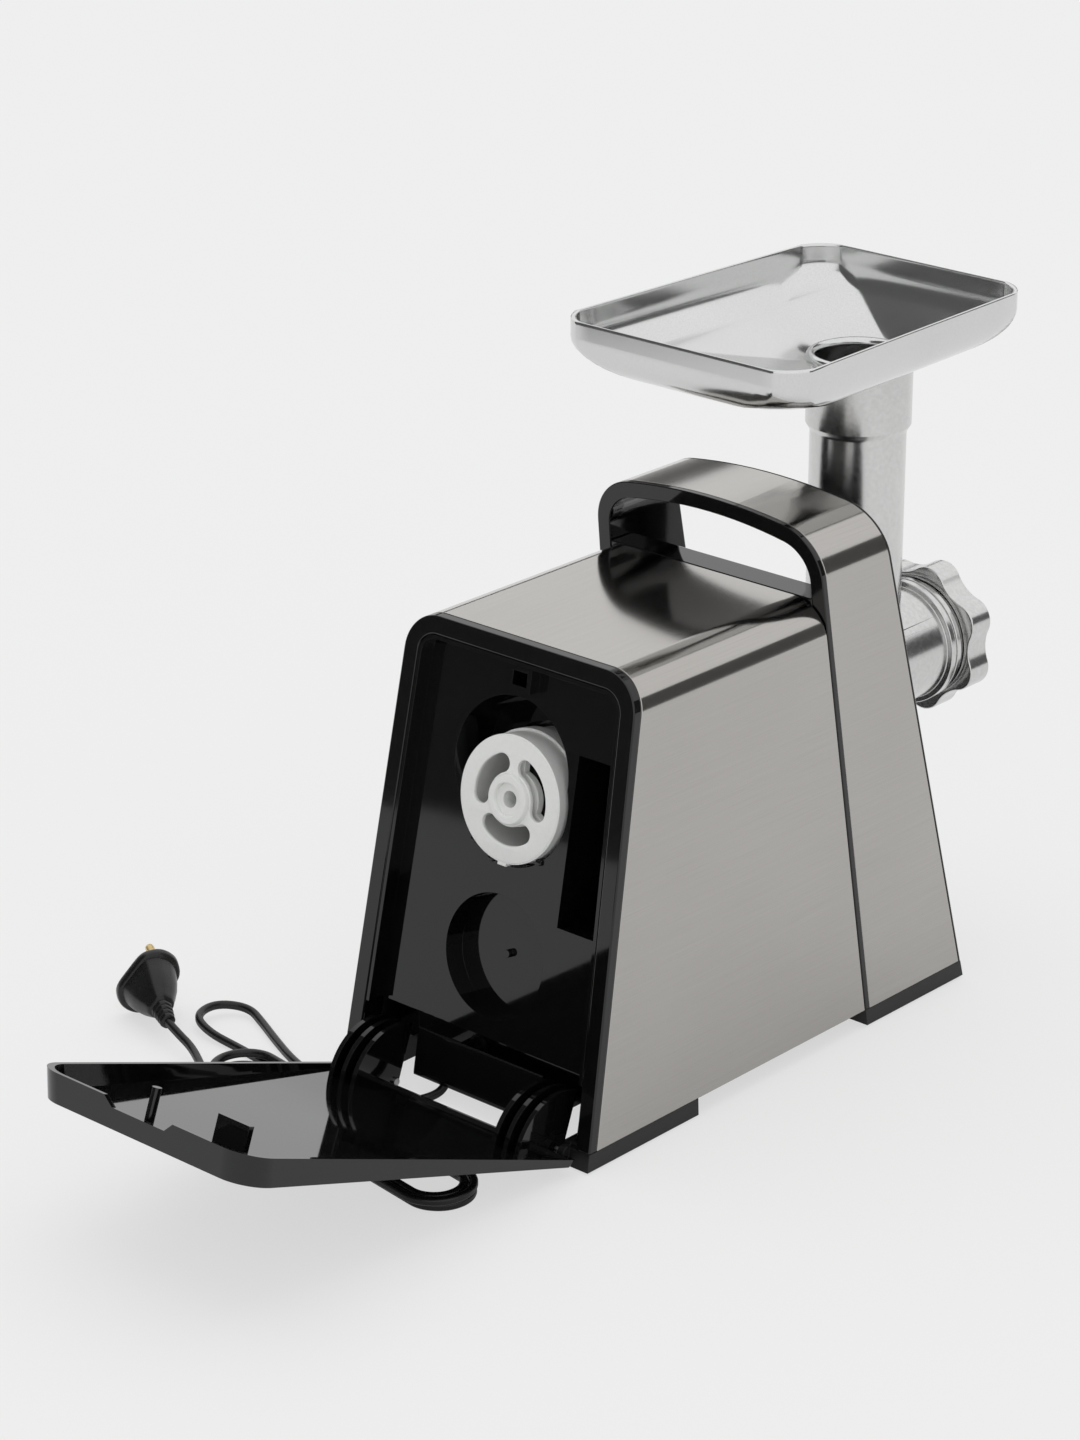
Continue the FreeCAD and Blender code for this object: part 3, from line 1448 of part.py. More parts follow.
def plug_pins():
    pins = []
    for side in (-1, 1):
        pin = rod(2.4, V(44, side * 9.5, 0), V(63, side * 9.5, 0))
        pins.append(pin.makeChamfer(1.0, [e for e in pin.Edges if e.BoundBox.XMin > 62.9]))
    return on_plug(group(pins))


def cord_nodes():
    lead, lead_radii = bend_path(lead_points())
    tail, tail_radii = bend_path(tail_points())
    hank = hank_wire()
    print(f"hank least gap to itself {least_gap(hank):.2f}")
    return {
        "cord_lead": cord_tube(lead, "lead", lead_radii),
        "cord_hank": cord_tube(hank, "hank", []),
        "cord_tail": cord_tube(tail, "tail", tail_radii),
    }


NODES = {
    "base_plate": base_plate,
    "rubber_feet": rubber_feet,
    "rear_wrap": rear_wrap,
    "motor_carcass": motor_carcass,
    "rear_bezel": rear_bezel,
    "storage_liner": storage_liner,
    "kubbe_disc": kubbe_disc,
    "rear_door": rear_door,
    "hinge_pins": hinge_pins,
    "front_housing": front_housing,
    "handle_frame": handle_frame,
    "handle_band": handle_band,
    "head_collar": head_collar,
    "release_button": release_button,
    "switch_bezel": switch_bezel,
    "power_rocker": power_rocker,
    "reverse_button": reverse_button,
    "switch_body": switch_body,
    "grinder_head": grinder_head,
    "auger": auger,
    "knife": knife,
    "cutting_plate": cutting_plate,
    "ring_nut": ring_nut,
    "hopper_tray": hopper_tray,
    "motor_pinion": motor_pinion,
    "first_gear": first_gear,
    "second_gear": second_gear,
    "output_gear": output_gear,
    "output_shaft": output_shaft,
    "gearbox_case": gearbox_case,
    "gearbox_cover": gearbox_cover,
    "output_bush": output_bush,
    "first_layshaft": lambda: layshaft(FIRST),
    "second_layshaft": lambda: layshaft(SECOND),
    "motor_shaft": motor_shaft,
    "armature": armature,
    "commutator": commutator,
    "cooling_fan": cooling_fan,
    "motor_stator": motor_stator,
    "field_coils": field_coils,
    "motor_cradle": motor_cradle,
    "motor_rear_bracket": motor_rear_bracket,
    "motor_bearings": motor_bearings,
    "brush_holders": brush_holders,
    "carbon_brushes": carbon_brushes,
    "cord_gland": cord_gland,
    "plug_body": plug_body,
    "plug_pins": plug_pins,
}


def main():
    os.makedirs("parts", exist_ok=True)
    shapes = {name: build() for name, build in NODES.items()}
    shapes.update(cord_nodes())
    for name, shape in shapes.items():
        shape.exportStep(f"parts/{name}.step")
    print(f"{len(shapes)} nodes")


if __name__ == "__main__":
    main()
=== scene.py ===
import json
import logging
import math
from dataclasses import dataclass
from enum import Enum

import bmesh
import bpy
import numpy as np
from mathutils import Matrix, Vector


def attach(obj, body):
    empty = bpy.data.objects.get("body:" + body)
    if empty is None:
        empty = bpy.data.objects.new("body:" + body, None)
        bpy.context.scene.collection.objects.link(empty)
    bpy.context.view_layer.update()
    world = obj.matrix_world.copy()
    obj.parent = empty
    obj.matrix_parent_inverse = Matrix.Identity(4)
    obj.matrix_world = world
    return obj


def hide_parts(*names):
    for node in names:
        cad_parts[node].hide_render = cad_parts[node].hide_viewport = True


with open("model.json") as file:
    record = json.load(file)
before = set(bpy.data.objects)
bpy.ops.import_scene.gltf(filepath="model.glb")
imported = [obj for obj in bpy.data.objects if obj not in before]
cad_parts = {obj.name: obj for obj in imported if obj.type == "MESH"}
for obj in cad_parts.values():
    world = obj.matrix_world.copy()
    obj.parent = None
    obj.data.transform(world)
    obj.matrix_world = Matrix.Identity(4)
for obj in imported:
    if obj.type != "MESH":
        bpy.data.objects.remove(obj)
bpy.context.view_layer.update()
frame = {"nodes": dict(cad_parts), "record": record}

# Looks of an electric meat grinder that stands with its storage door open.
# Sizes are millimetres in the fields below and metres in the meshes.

MM = 0.001
LOG = logging.getLogger("meat_grinder")
Colour = tuple[float, float, float]
Point = tuple[float, float, float]
Pair = tuple[float, float]

# Distance in metres within which vertices are one, on new meshes and on copies of the solids.
MERGE, SOLID_MERGE = 1e-6, 2e-6
# Degrees up to which a solid's faces lie in one plane, and past which its edges are corners.
FLAT_ANGLE, CORNER_ANGLE = 0.4, 34.0
# Weight that lets the largest faces set the normals.
FACE_WEIGHT = 100
# Numbers of the Mix node's colour sockets.
MIX_FIRST, MIX_SECOND, MIX_OUT = 6, 7, 2
# Detail of the two noises, their shares in colour and roughness, and how far these are spread.
FINE_DETAIL, BROAD_DETAIL = 3.0, 2.0
COLOUR_SHARES, COLOUR_GAIN = (0.6, 0.4), 2.2
ROUGH_SHARES, ROUGH_GAIN = (0.5, 0.5), 2.0
BUMP_STRENGTH = 0.6
COAT_ROUGHNESS = 0.05
GLOW_DEPTH = (0.004, 0.004, 0.0035)


class Value:
    """A shader socket that takes part in Python sums; each sum adds a Math node."""

    def __init__(self, board: "Board", socket: bpy.types.NodeSocket) -> None:
        """Keep the board of nodes and the socket."""
        self.board = board
        self.socket = socket

    def _sum(self, operation: str, first: object, second: object) -> "Value":
        """Add one Math node with these two inputs."""
        return self.board.node("ShaderNodeMath", {"operation": operation}, {0: first, 1: second})

    def __add__(self, other: object) -> "Value":
        """Sum."""
        return self._sum("ADD", self, other)

    __radd__ = __add__

    def __sub__(self, other: object) -> "Value":
        """Difference."""
        return self._sum("SUBTRACT", self, other)

    def __rsub__(self, other: object) -> "Value":
        """Difference from a plain number."""
        return self._sum("SUBTRACT", other, self)

    def __mul__(self, other: object) -> "Value":
        """Product."""
        return self._sum("MULTIPLY", self, other)

    __rmul__ = __mul__

    def at_least(self, low: object) -> "Value":
        """The larger of the two."""
        return self._sum("MAXIMUM", self, low)

    def at_most(self, high: object) -> "Value":
        """The smaller of the two."""
        return self._sum("MINIMUM", self, high)

    def contrast(self, gain: float) -> "Value":
        """Spread about one half and keep within 0 and 1."""
        return ((self - 0.5) * gain + 0.5).at_least(0.0).at_most(1.0)


class Board:
    """The nodes of one material or of the world."""

    def __init__(self, tree: bpy.types.NodeTree) -> None:
        """Empty the tree."""
        self.tree = tree
        tree.nodes.clear()

    def node(self, kind: str, settings: dict | None = None, inputs: dict | None = None,
             output: int | str = 0) -> Value | None:
        """Add one node.

        Args:
            kind: Blender's name for the node.
            settings: Properties that are set first.
            inputs: Values or links, by socket name or number.
            output: Which output to hand on.

        Returns:
            The chosen output as a value, or None for a node without outputs.
        """
        made = self.tree.nodes.new(kind)
        for key, value in (settings or {}).items():
            setattr(made, key, value)
        for key, value in (inputs or {}).items():
            if isinstance(value, Value):
                self.tree.links.new(value.socket, made.inputs[key])
            else:
                made.inputs[key].default_value = value
        return Value(self, made.outputs[output]) if len(made.outputs) else None

    def blend(self, share: object, first: object, second: object) -> Value:
        """Mix two colours; share 0 gives the first."""
        pair = [c if isinstance(c, Value) else (*c, 1.0) for c in (first, second)]
        return self.node("ShaderNodeMix", {"data_type": "RGBA"},
                         {0: share, MIX_FIRST: pair[0], MIX_SECOND: pair[1]}, MIX_OUT)


def new_material(name: str) -> tuple[bpy.types.Material, Board]:
    """Start a material.

    Args:
        name: The material's name.

    Returns:
        The material and the empty board of its nodes.
    """
    made = bpy.data.materials.new(name)
    made.use_nodes = True
    return made, Board(made.node_tree)


class Grain(Enum):
    """How a surface's noise is stretched along X, Y and Z."""

    EVEN = (1.0, 1.0, 1.0)
    LENGTHWISE = (1.0, 0.006, 1.0)
    ROUND_TURNED = (0.15, 1.0, 0.15)


@dataclass(frozen=True)
class Finish:
    """A surface whose colour runs from dark to light and whose roughness from smooth to rough, over two noises.

    Attributes:
        slot: The record's slot that it belongs to; not used.
        specular: Strength of the mirror layer on plastics.
        grain: Stretch of the fine noise.
        fine: Cycles of the fine noise in a metre.
        broad: Cycles of the broad noise in a metre.
        relief: Height of the fine noise in metres.
        clear: Weight of a clear top layer.
        glow: Share of light that scatters under the surface.
    """

    name: str
    slot: str
    dark: Colour
    light: Colour
    smooth: float
    rough: float
    metallic: float = 0.0
    specular: float = 0.5
    grain: Grain = Grain.EVEN
    fine: float = 900.0
    broad: float = 22.0
    relief: float = 1e-5
    clear: float = 0.0
    glow: float = 0.0

    def material(self) -> bpy.types.Material:
        """Make the material, or find the one already made.

        Returns:
            The material.
        """
        known = bpy.data.materials.get(self.name)
        if known is not None:
            return known
        made, board = new_material(self.name)
        place = board.node("ShaderNodeTexCoord", output="Object")
        along = board.node("ShaderNodeVectorMath", {"operation": "MULTIPLY"}, {0: place, 1: self.grain.value})
        fine, broad = (board.node("ShaderNodeTexNoise", None, {"Vector": v, "Scale": s, "Detail": d}, "Fac")
                       for v, s, d in ((along, self.fine, FINE_DETAIL), (place, self.broad, BROAD_DETAIL)))
        mottle = (fine * COLOUR_SHARES[0] + broad * COLOUR_SHARES[1]).contrast(COLOUR_GAIN)
        wear = (fine * ROUGH_SHARES[0] + broad * ROUGH_SHARES[1]).contrast(ROUGH_GAIN)
        bump = board.node("ShaderNodeBump", None,
                          {"Height": fine, "Strength": BUMP_STRENGTH, "Distance": self.relief}, "Normal")
        shader = board.node("ShaderNodeBsdfPrincipled", None, {
            "Base Color": board.blend(mottle, self.dark, self.light),
            "Roughness": wear * (self.rough - self.smooth) + self.smooth,
            "Normal": bump, "Metallic": self.metallic, "Specular IOR Level": self.specular,
            "Coat Weight": self.clear, "Coat Roughness": COAT_ROUGHNESS,
            "Subsurface Weight": self.glow, "Subsurface Radius": GLOW_DEPTH})
        board.node("ShaderNodeOutputMaterial", None, {"Surface": shader})
        return made


STEEL = Finish("brushed_stainless", "brushed_steel", (0.42, 0.405, 0.386), (0.485, 0.47, 0.45), 0.09, 0.15, 1.0,
               grain=Grain.LENGTHWISE, fine=3400.0, broad=7.0, relief=1.2e-6)
GLOSS = Finish("gloss_black_moulding", "gloss_black", (0.0028, 0.0028, 0.003), (0.0048, 0.0048, 0.005),
               0.03, 0.07, fine=120.0, relief=1e-6)
SATIN = Finish("satin_black_moulding", "satin_black", (0.005, 0.005, 0.0053), (0.012, 0.012, 0.0125),
               0.32, 0.46, specular=0.4, fine=1400.0, relief=2e-5)
RUBBER = Finish("foot_rubber", "rubber_black", (0.006, 0.006, 0.006), (0.016, 0.016, 0.016),
                0.62, 0.8, specular=0.35, fine=1100.0, relief=4e-5)
SHEATH = Finish("cord_sheath", "cord_black", (0.004, 0.004, 0.0042), (0.009, 0.009, 0.0094),
                0.24, 0.36, specular=0.42, fine=700.0)
ALLOY = Finish("polished_alloy", "polished_aluminium", (0.56, 0.56, 0.555), (0.7, 0.7, 0.695), 0.15, 0.27, 1.0,
               fine=420.0, broad=16.0, relief=1.2e-6)
SPUN = Finish("pressed_alloy", "polished_aluminium", (0.62, 0.625, 0.62), (0.74, 0.745, 0.74), 0.1, 0.2, 1.0,
              fine=1500.0, broad=12.0, relief=1e-6)
TOOL = Finish("ground_steel", "tool_steel", (0.42, 0.42, 0.42), (0.6, 0.6, 0.6), 0.2, 0.36, 1.0,
              grain=Grain.ROUND_TURNED, fine=1300.0, relief=8e-6)
WHITE = Finish("white_moulding", "white_plastic", (0.86, 0.87, 0.85), (0.91, 0.92, 0.9), 0.3, 0.42,
               specular=0.42, fine=500.0, glow=0.12)
NYLON = Finish("gear_moulding", "gear_nylon", (0.55, 0.53, 0.45), (0.68, 0.66, 0.58), 0.4, 0.55,
               fine=600.0, glow=0.1)
CAST = Finish("die_cast", "cast_metal", (0.2, 0.2, 0.205), (0.33, 0.33, 0.335), 0.38, 0.55, 1.0,
              fine=1200.0, relief=3e-5)
BRASS = Finish("plated_brass", "brass", (0.55, 0.4, 0.16), (0.72, 0.55, 0.26), 0.18, 0.32, 1.0, relief=6e-6)
COPPER = Finish("winding_copper", "copper", (0.42, 0.16, 0.06), (0.66, 0.33, 0.17), 0.25, 0.4, 1.0,
                grain=Grain.LENGTHWISE, fine=1600.0, relief=6e-5, clear=0.4)
CARBON = Finish("pressed_carbon", "carbon", (0.012, 0.012, 0.013), (0.03, 0.03, 0.032), 0.5, 0.7,
                fine=1500.0, relief=2e-5)

# A CAD node, its finish, the width of its rounding and the faces across that.
Eased = tuple[str, Finish, float, int]


def full_turn(count: int) -> np.ndarray:
    """Angles round a whole turn in even steps, the last one left out."""
    return np.linspace(0, 2 * np.pi, count, endpoint=False)


def signed_power(wave: np.ndarray, power: float) -> np.ndarray:
    """Raise the size of each value to a power and keep its sign."""
    return np.sign(wave) * np.abs(wave) ** power


def level(flat: np.ndarray, z: float) -> np.ndarray:
    """Give flat points (n, 2) one height."""
    return np.column_stack([flat, np.full(len(flat), z)])


def unit(rows: np.ndarray) -> np.ndarray:
    """Bring each vector to length 1."""
    return rows / np.linalg.norm(rows, axis=-1, keepdims=True)


def raw_points(mesh: bpy.types.Mesh) -> np.ndarray:
    """Read a mesh's vertices in its own unit.

    Args:
        mesh: Any mesh.

    Returns:
        Points (n, 3).
    """
    found = np.zeros(len(mesh.vertices) * 3)
    mesh.vertices.foreach_get("co", found)
    return found.reshape(-1, 3)


def tidy_mesh(mesh: bpy.types.Mesh, sharp: float) -> None:
    """Merge doubles, turn the faces outward and shade smooth up to an angle.

    Args:
        mesh: A closed mesh.
        sharp: Degrees past which an edge stays sharp.
    """
    work = bmesh.new()
    work.from_mesh(mesh)
    bmesh.ops.remove_doubles(work, verts=work.verts, dist=MERGE)
    bmesh.ops.dissolve_degenerate(work, edges=work.edges, dist=MERGE)
    bmesh.ops.recalc_face_normals(work, faces=work.faces)
    work.to_mesh(mesh)
    work.free()
    mesh.shade_smooth()
    mesh.set_sharp_from_angle(angle=math.radians(sharp))


def grid_faces(count: int, across: int, ring: bool = False) -> np.ndarray:
    """Quads of a grid: point (i, j) joins (i, j+1), (i+1, j+1) and (i+1, j), and the columns close on themselves.

    Args:
        count: Number of rows.
        across: Points in a row.
        ring: True where the last row joins the first.

    Returns:
        Corner numbers (n, 4).
    """
    index = np.arange(count * across).reshape(count, across)
    ahead = np.roll(index, -1, axis=1)
    corners = (index, ahead, np.roll(ahead, -1, axis=0), np.roll(index, -1, axis=0))
    return np.stack([corner[:count if ring else count - 1] for corner in corners], axis=-1).reshape(-1, 4)


def grid_mesh(name: str, rows: np.ndarray, ring: bool = False, sharp: float = 40.0) -> bpy.types.Mesh:
    """Close a grid of points into a mesh.

    Args:
        name: The mesh's name.
        rows: Points in millimetres, shaped (rows, columns, 3).
        ring: True where the last row joins the first; otherwise both end rows are capped.
        sharp: Degrees past which an edge stays sharp.

    Returns:
        The mesh in metres.
    """
    count, across = rows.shape[:2]
    faces = grid_faces(count, across, ring).tolist()
    if not ring:
        first = np.arange(across)
        faces += [first[::-1].tolist(), (first + (count - 1) * across).tolist()]
    mesh = bpy.data.meshes.new(name)
    mesh.from_pydata((rows.reshape(-1, 3) * MM).tolist(), [], faces)
    tidy_mesh(mesh, sharp)
    return mesh


def new_object(name: str, data: bpy.types.ID) -> bpy.types.Object:
    """Put a mesh, camera or lamp in the scene.

    Args:
        name: The object's name.
        data: What it shows.

    Returns:
        The new object.
    """
    made = bpy.data.objects.new(name, data)
    bpy.context.scene.collection.objects.link(made)
    return made


def add_piece(name: str, mesh: bpy.types.Mesh, body: str, finish: Finish, *stands_for: str) -> bpy.types.Object:
    """Put a mesh in the scene as a piece of the object.

    Args:
        name: The piece's name.
        mesh: Its mesh, in place.
        body: The moving body that carries it.
        finish: Its surface.
        stands_for: CAD nodes that it replaces.

    Returns:
        The new object.
    """
    made = new_object(name, mesh)
    mesh.materials.clear()
    mesh.materials.append(finish.material())
    if stands_for:
        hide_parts(*stands_for)
    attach(made, body)
    LOG.info("%s on %s in %s", name, body, finish.name)
    return made


def add_grid(name: str, rows: np.ndarray, body: str, finish: Finish, *stands_for: str,
             ring: bool = False, sharp: float = 40.0) -> bpy.types.Object:
    """Add a piece whose mesh is a closed grid; the values are those of add_piece and grid_mesh."""
    return add_piece(name, grid_mesh(name, rows, ring, sharp), body, finish, *stands_for)


def body_of(node: str) -> str:
    """Name of the body that carries a CAD node."""
    return next(body for body, members in frame["record"]["behaviour"]["bodies"].items() if node in members)


def dress_node(node: str, finish: Finish) -> None:
    """Give a CAD node a finish in its own material slots.

    Args:
        node: The CAD node.
        finish: Its surface.
    """
    held = frame["nodes"][node].data.materials
    held.clear()
    held.append(finish.material())
    LOG.info("%s in %s", node, finish.name)


def eased_copy(node: str, finish: Finish, ease: float, steps: int) -> bpy.types.Object:
    """Replace a CAD node by a merged copy whose corners are rounded off.

    Args:
        node: The CAD node.
        finish: Its surface.
        ease: Width of the rounding in millimetres, 0 for none.
        steps: Faces across the rounding.

    Returns:
        The new piece.
    """
    mesh = frame["nodes"][node].data.copy()
    work = bmesh.new()
    work.from_mesh(mesh)
    bmesh.ops.remove_doubles(work, verts=work.verts, dist=SOLID_MERGE)
    bmesh.ops.dissolve_limit(work, angle_limit=math.radians(FLAT_ANGLE), verts=work.verts, edges=work.edges)
    work.to_mesh(mesh)
    work.free()
    mesh.shade_smooth()
    mesh.set_sharp_from_angle(angle=math.radians(CORNER_ANGLE))
    made = add_piece(node + ".eased", mesh, body_of(node), finish, node)
    if ease > 0:
        rounding = made.modifiers.new("rounding", "BEVEL")
        rounding.width = ease * MM
        rounding.segments = steps
        rounding.limit_method = "ANGLE"
        rounding.angle_limit = math.radians(CORNER_ANGLE)
    shading = made.modifiers.new("shading", "WEIGHTED_NORMAL")
    shading.weight = FACE_WEIGHT
    shading.keep_sharp = True
    return made


@dataclass(frozen=True)
class DarkCard:
    """A dark upright card that only mirrors see, its heading in degrees from +X and its edges from low to high."""

    heading: float
    away: float
    half_width: float
    low: float
    high: float


@dataclass
class Studio:
    """Camera at the photograph's place, pale floor and soft light; the shares are of an even tone in the floor."""

    eye: Point = (-1251.84, 1484.7, 942.99)
    yaw: float = 41.951
    pitch: float = 21.763
    lens: float = 104.51
    far_clip: float = 50000.0
    pale: float = 0.863
    floor_rings: tuple[float, ...] = (0.0, 400.0, 2000.0, 9000.0)
    dome: float = 0.72
    mirrored: float = 1.0
    shown_share: float = 0.72
    mirrored_share: float = 0.3
    sun_strength: float = 0.9
    sun_spread: float = 70.0
    sun_from: Point = (0.2, -0.3, 1.0)
    card_grey: float = 0.13
    dark_cards: tuple[DarkCard, ...] = (
        DarkCard(51.5, 1250.0, 1500.0, 0.0, 2400.0), DarkCard(223.0, 2300.0, 1600.0, 0.0, 900.0),
        DarkCard(-54.0, 2200.0, 1300.0, 520.0, 790.0))

    def add_camera(self) -> None:
        """Place the camera by its eye, yaw and pitch."""
        yaw, pitch = math.radians(self.yaw), math.radians(self.pitch)
        ahead = Vector((math.sin(yaw) * math.cos(pitch), -math.cos(yaw) * math.cos(pitch), -math.sin(pitch)))
        data = bpy.data.cameras.new("photo_camera")
        data.lens = self.lens
        data.clip_end = self.far_clip * MM
        made = new_object("photo_camera", data)
        made.location = Vector(self.eye) * MM
        made.rotation_euler = ahead.to_track_quat("-Z", "Y").to_euler()
        bpy.context.scene.camera = made

    def shown(self, board: Board, direct: float, mirrored: float) -> Value:
        """Share of the even backdrop tone: one for the camera and glass, one for mirrors, 0 for other rays."""
        seen, through, glossy = (board.node("ShaderNodeLightPath", output=f"Is {kind} Ray")
                                 for kind in ("Camera", "Transmission", "Glossy"))
        return (seen.at_least(through) * direct).at_least(glossy * mirrored)

    def add_world(self) -> None:
        """Even dome; the camera and glass see the pale backdrop's own tone, mirrors a brighter one."""
        world = bpy.data.worlds.new("studio_dome")
        bpy.context.scene.world = world
        world.use_nodes = True
        board = Board(world.node_tree)
        mirrored = board.node("ShaderNodeLightPath", output="Is Glossy Ray")
        tone = board.blend(self.shown(board, 1.0, 0.0), (self.dome,) * 3, (self.pale,) * 3)
        tone = board.blend(mirrored, tone, (self.mirrored,) * 3)
        light = board.node("ShaderNodeBackground", None, {"Color": tone, "Strength": 1.0})
        board.node("ShaderNodeOutputWorld", None, {"Surface": light})

    def add_floor(self) -> None:
        """Round pale floor: points on circles about the origin, radius growing row by row."""
        turn, radius = full_turn(96), np.array(self.floor_rings)[:, None]
        rows = np.stack([radius * np.cos(turn), radius * np.sin(turn), 0 * radius * turn], axis=-1)
        faces = grid_faces(*rows.shape[:2])[:, ::-1]
        mesh = bpy.data.meshes.new("floor")
        mesh.from_pydata((rows.reshape(-1, 3) * MM).tolist(), [], faces.tolist())
        paint, board = new_material("pale_floor")
        grey = (self.pale,) * 3 + (1.0,)
        lit = board.node("ShaderNodeBsdfDiffuse", None, {"Color": grey})
        even = board.node("ShaderNodeEmission", None, {"Color": grey, "Strength": 1.0})
        shader = board.node("ShaderNodeMixShader", None, {
            0: self.shown(board, self.shown_share, self.mirrored_share), 1: lit, 2: even})
        board.node("ShaderNodeOutputMaterial", None, {"Surface": shader})
        mesh.materials.append(paint)
        made = new_object("floor", mesh)

    def add_card(self, card: DarkCard) -> None:
        """Stand up a dark card.

        Args:
            card: Its place and size.
        """
        turn = math.radians(card.heading)
        out = np.array([math.cos(turn), math.sin(turn), 0.0])
        side = np.array([-math.sin(turn), math.cos(turn), 0.0])
        corners = [out * card.away + side * card.half_width * u + np.array([0.0, 0.0, z])
                   for u, z in ((-1, card.low), (-1, card.high), (1, card.high), (1, card.low))]
        mesh = bpy.data.meshes.new("dark_card")
        mesh.from_pydata((np.array(corners) * MM).tolist(), [], [(0, 1, 2, 3)])
        paint, board = new_material("dark_card")
        shader = board.node("ShaderNodeBsdfDiffuse", None, {"Color": (self.card_grey,) * 3 + (1.0,)})
        board.node("ShaderNodeOutputMaterial", None, {"Surface": shader})
        mesh.materials.append(paint)
        made = new_object("dark_card", mesh)
        made.visible_camera = made.visible_diffuse = made.visible_shadow = made.visible_transmission = False

    def add_sun(self) -> None:
        """One broad lamp from high on the far side, for the soft shadow towards the camera."""
        data = bpy.data.lights.new("soft_key", "SUN")
        data.energy = self.sun_strength
        data.angle = math.radians(self.sun_spread)
        made = new_object("soft_key", data)
        made.rotation_euler = Vector(self.sun_from).to_track_quat("Z", "Y").to_euler()
        made.visible_glossy = False

    def build(self) -> None:
        """Set the whole stage."""
        bpy.context.scene.view_settings.view_transform = "Standard"
        self.add_camera()
        self.add_world()
        self.add_floor()
        for card in self.dark_cards:
            self.add_card(card)
        self.add_sun()


@dataclass
class HopperTray:
    """Pressed feed tray: upright walls with folded corners, a wide turn and a floor that falls to a beaded throat."""

    rim_z: float = 362.0
    front_y: float = -204.0
    rear_y: float = -3.0
    front_half: float = 68.5
    rear_half: float = 76.0
    wall: float = 28.0
    corner: float = 14.0
    corner_foot: float = 46.0
    turn: float = 18.0
    turn_step: int = 5
    sheet: float = 1.2
    fold: float = 0.45
    throat_y: float = -153.0
    throat_z: float = 321.3
    neck_radius: float = 24.0
    neck_low: float = 303.0
    neck_gap: float = 1.0
    bead_radius: float = 28.2
    bead_height: float = 3.4
    wall_gaps: Pair = (1.5, 1.6)
    arc_points: int = 14
    side_points: int = 12

    def outline(self, inset: float) -> np.ndarray:
        """Tapered oblong with folded corners, every side moved inward by inset.

        Each corner is an arc about its own centre whose radius is drawn part of the way to the
        arc's chord, r * ((1 - fold) + fold * cos(half) / cos(angle)), which leaves two bends. The
        corners widen with the inset, from corner at the rim to corner_foot at the turn's foot.

        Args:
            inset: Distance inward in millimetres.

        Returns:
            Points (n, 2).
        """
        taper = (self.rear_half - self.front_half) / (self.rear_y - self.front_y)
        slant = inset * math.hypot(1, taper)
        low, high = self.front_y + inset, self.rear_y - inset
        front, rear = self.front_half + taper * inset - slant, self.rear_half - taper * inset - slant
        apex = np.array([(front, low), (rear, high), (-rear, high), (-front, low)])
        back, ahead = (unit(np.roll(apex, way, axis=0) - apex) for way in (1, -1))
        open_half = np.arccos((back * ahead).sum(1)) / 2
        radius = self.corner + (self.corner_foot - self.corner) * inset / (self.turn + self.sheet)
        middle = unit(back + ahead)
        centre = apex + middle * (radius / np.sin(open_half))[:, None]
        half = np.pi / 2 - open_half
        swing = np.linspace(-1, 1, self.arc_points)[None, :] * half[:, None]
        reach = radius * ((1 - self.fold) + self.fold * np.cos(half)[:, None] / np.cos(swing))
        heading = np.arctan2(-middle[:, 1], -middle[:, 0])[:, None] + swing
        arcs = centre[:, None] + reach[..., None] * np.stack([np.cos(heading), np.sin(heading)], axis=-1)
        share = np.linspace(0, 1, self.side_points + 2)[1:-1][None, :, None]
        sides = arcs[:, -1:] * (1 - share) + np.roll(arcs, -1, axis=0)[:, :1] * share
        return np.concatenate([arcs, sides], axis=1).reshape(-1, 2)

    def turned(self, inset: float, lift: float) -> np.ndarray:
        """The turn in rows turn_step degrees apart: inset turn * (1 - sin a), height turn * (1 - cos a)."""
        foot_z = self.rim_z - self.wall + lift
        return np.stack([level(self.outline(inset + self.turn * (1 - math.sin(a))),
                               foot_z + self.turn * (1 - math.cos(a)))
                         for a in np.radians(np.arange(0, 91, self.turn_step))])

    def surface(self, inset: float, lift: float) -> list[np.ndarray]:
        """Rows of one face of the sheet, from the throat's bead up to the rim.

        In each upright section the floor is a straight line from the bead's foot that touches the
        turn's circle: at an angle atan2(dz, dx) - asin(turn / d) from the level, where dx, dz and
        d lead from the bead's foot to the circle's centre.

        Args:
            inset: Sheet thickness for the inner face, 0 for the outer.
            lift: Height of this face over the outer one.

        Returns:
            Rows of points (n, 3).
        """
        turn = self.turned(inset, lift)
        columns = np.arange(turn.shape[1])
        centre = np.array([0.0, self.throat_y])
        away = turn[0, :, :2] - centre
        distance = np.linalg.norm(away, axis=1)
        circle = level(centre + away / distance[:, None] * self.bead_radius, self.throat_z + lift)
        run, rise = distance - self.bead_radius, self.rim_z - self.wall + self.turn - self.throat_z
        touch = np.degrees(np.arctan2(rise, run) - np.arcsin(self.turn / np.hypot(run, rise)))
        last = len(turn) - 1.001  # just short of the last row, so that a next row exists
        rows = []
        for share in np.linspace(0.0, 1.0, 10):
            step = np.clip((touch + (90 - touch) * share) / self.turn_step, 0, last)
            low, part = step.astype(int), (step % 1)[:, None]
            rows.append(turn[low, columns] * (1 - part) + turn[low + 1, columns] * part)
        floor = [circle * (1 - share) + rows[0] * share for share in np.linspace(0, 1, 13)[:-1]]
        heights = np.linspace(rows[-1][0, 2] + self.wall_gaps[0], self.rim_z - self.wall_gaps[1], 3)
        walls = [level(self.outline(inset), z) for z in (*heights, self.rim_z - self.sheet / 2)]
        return floor + rows + walls

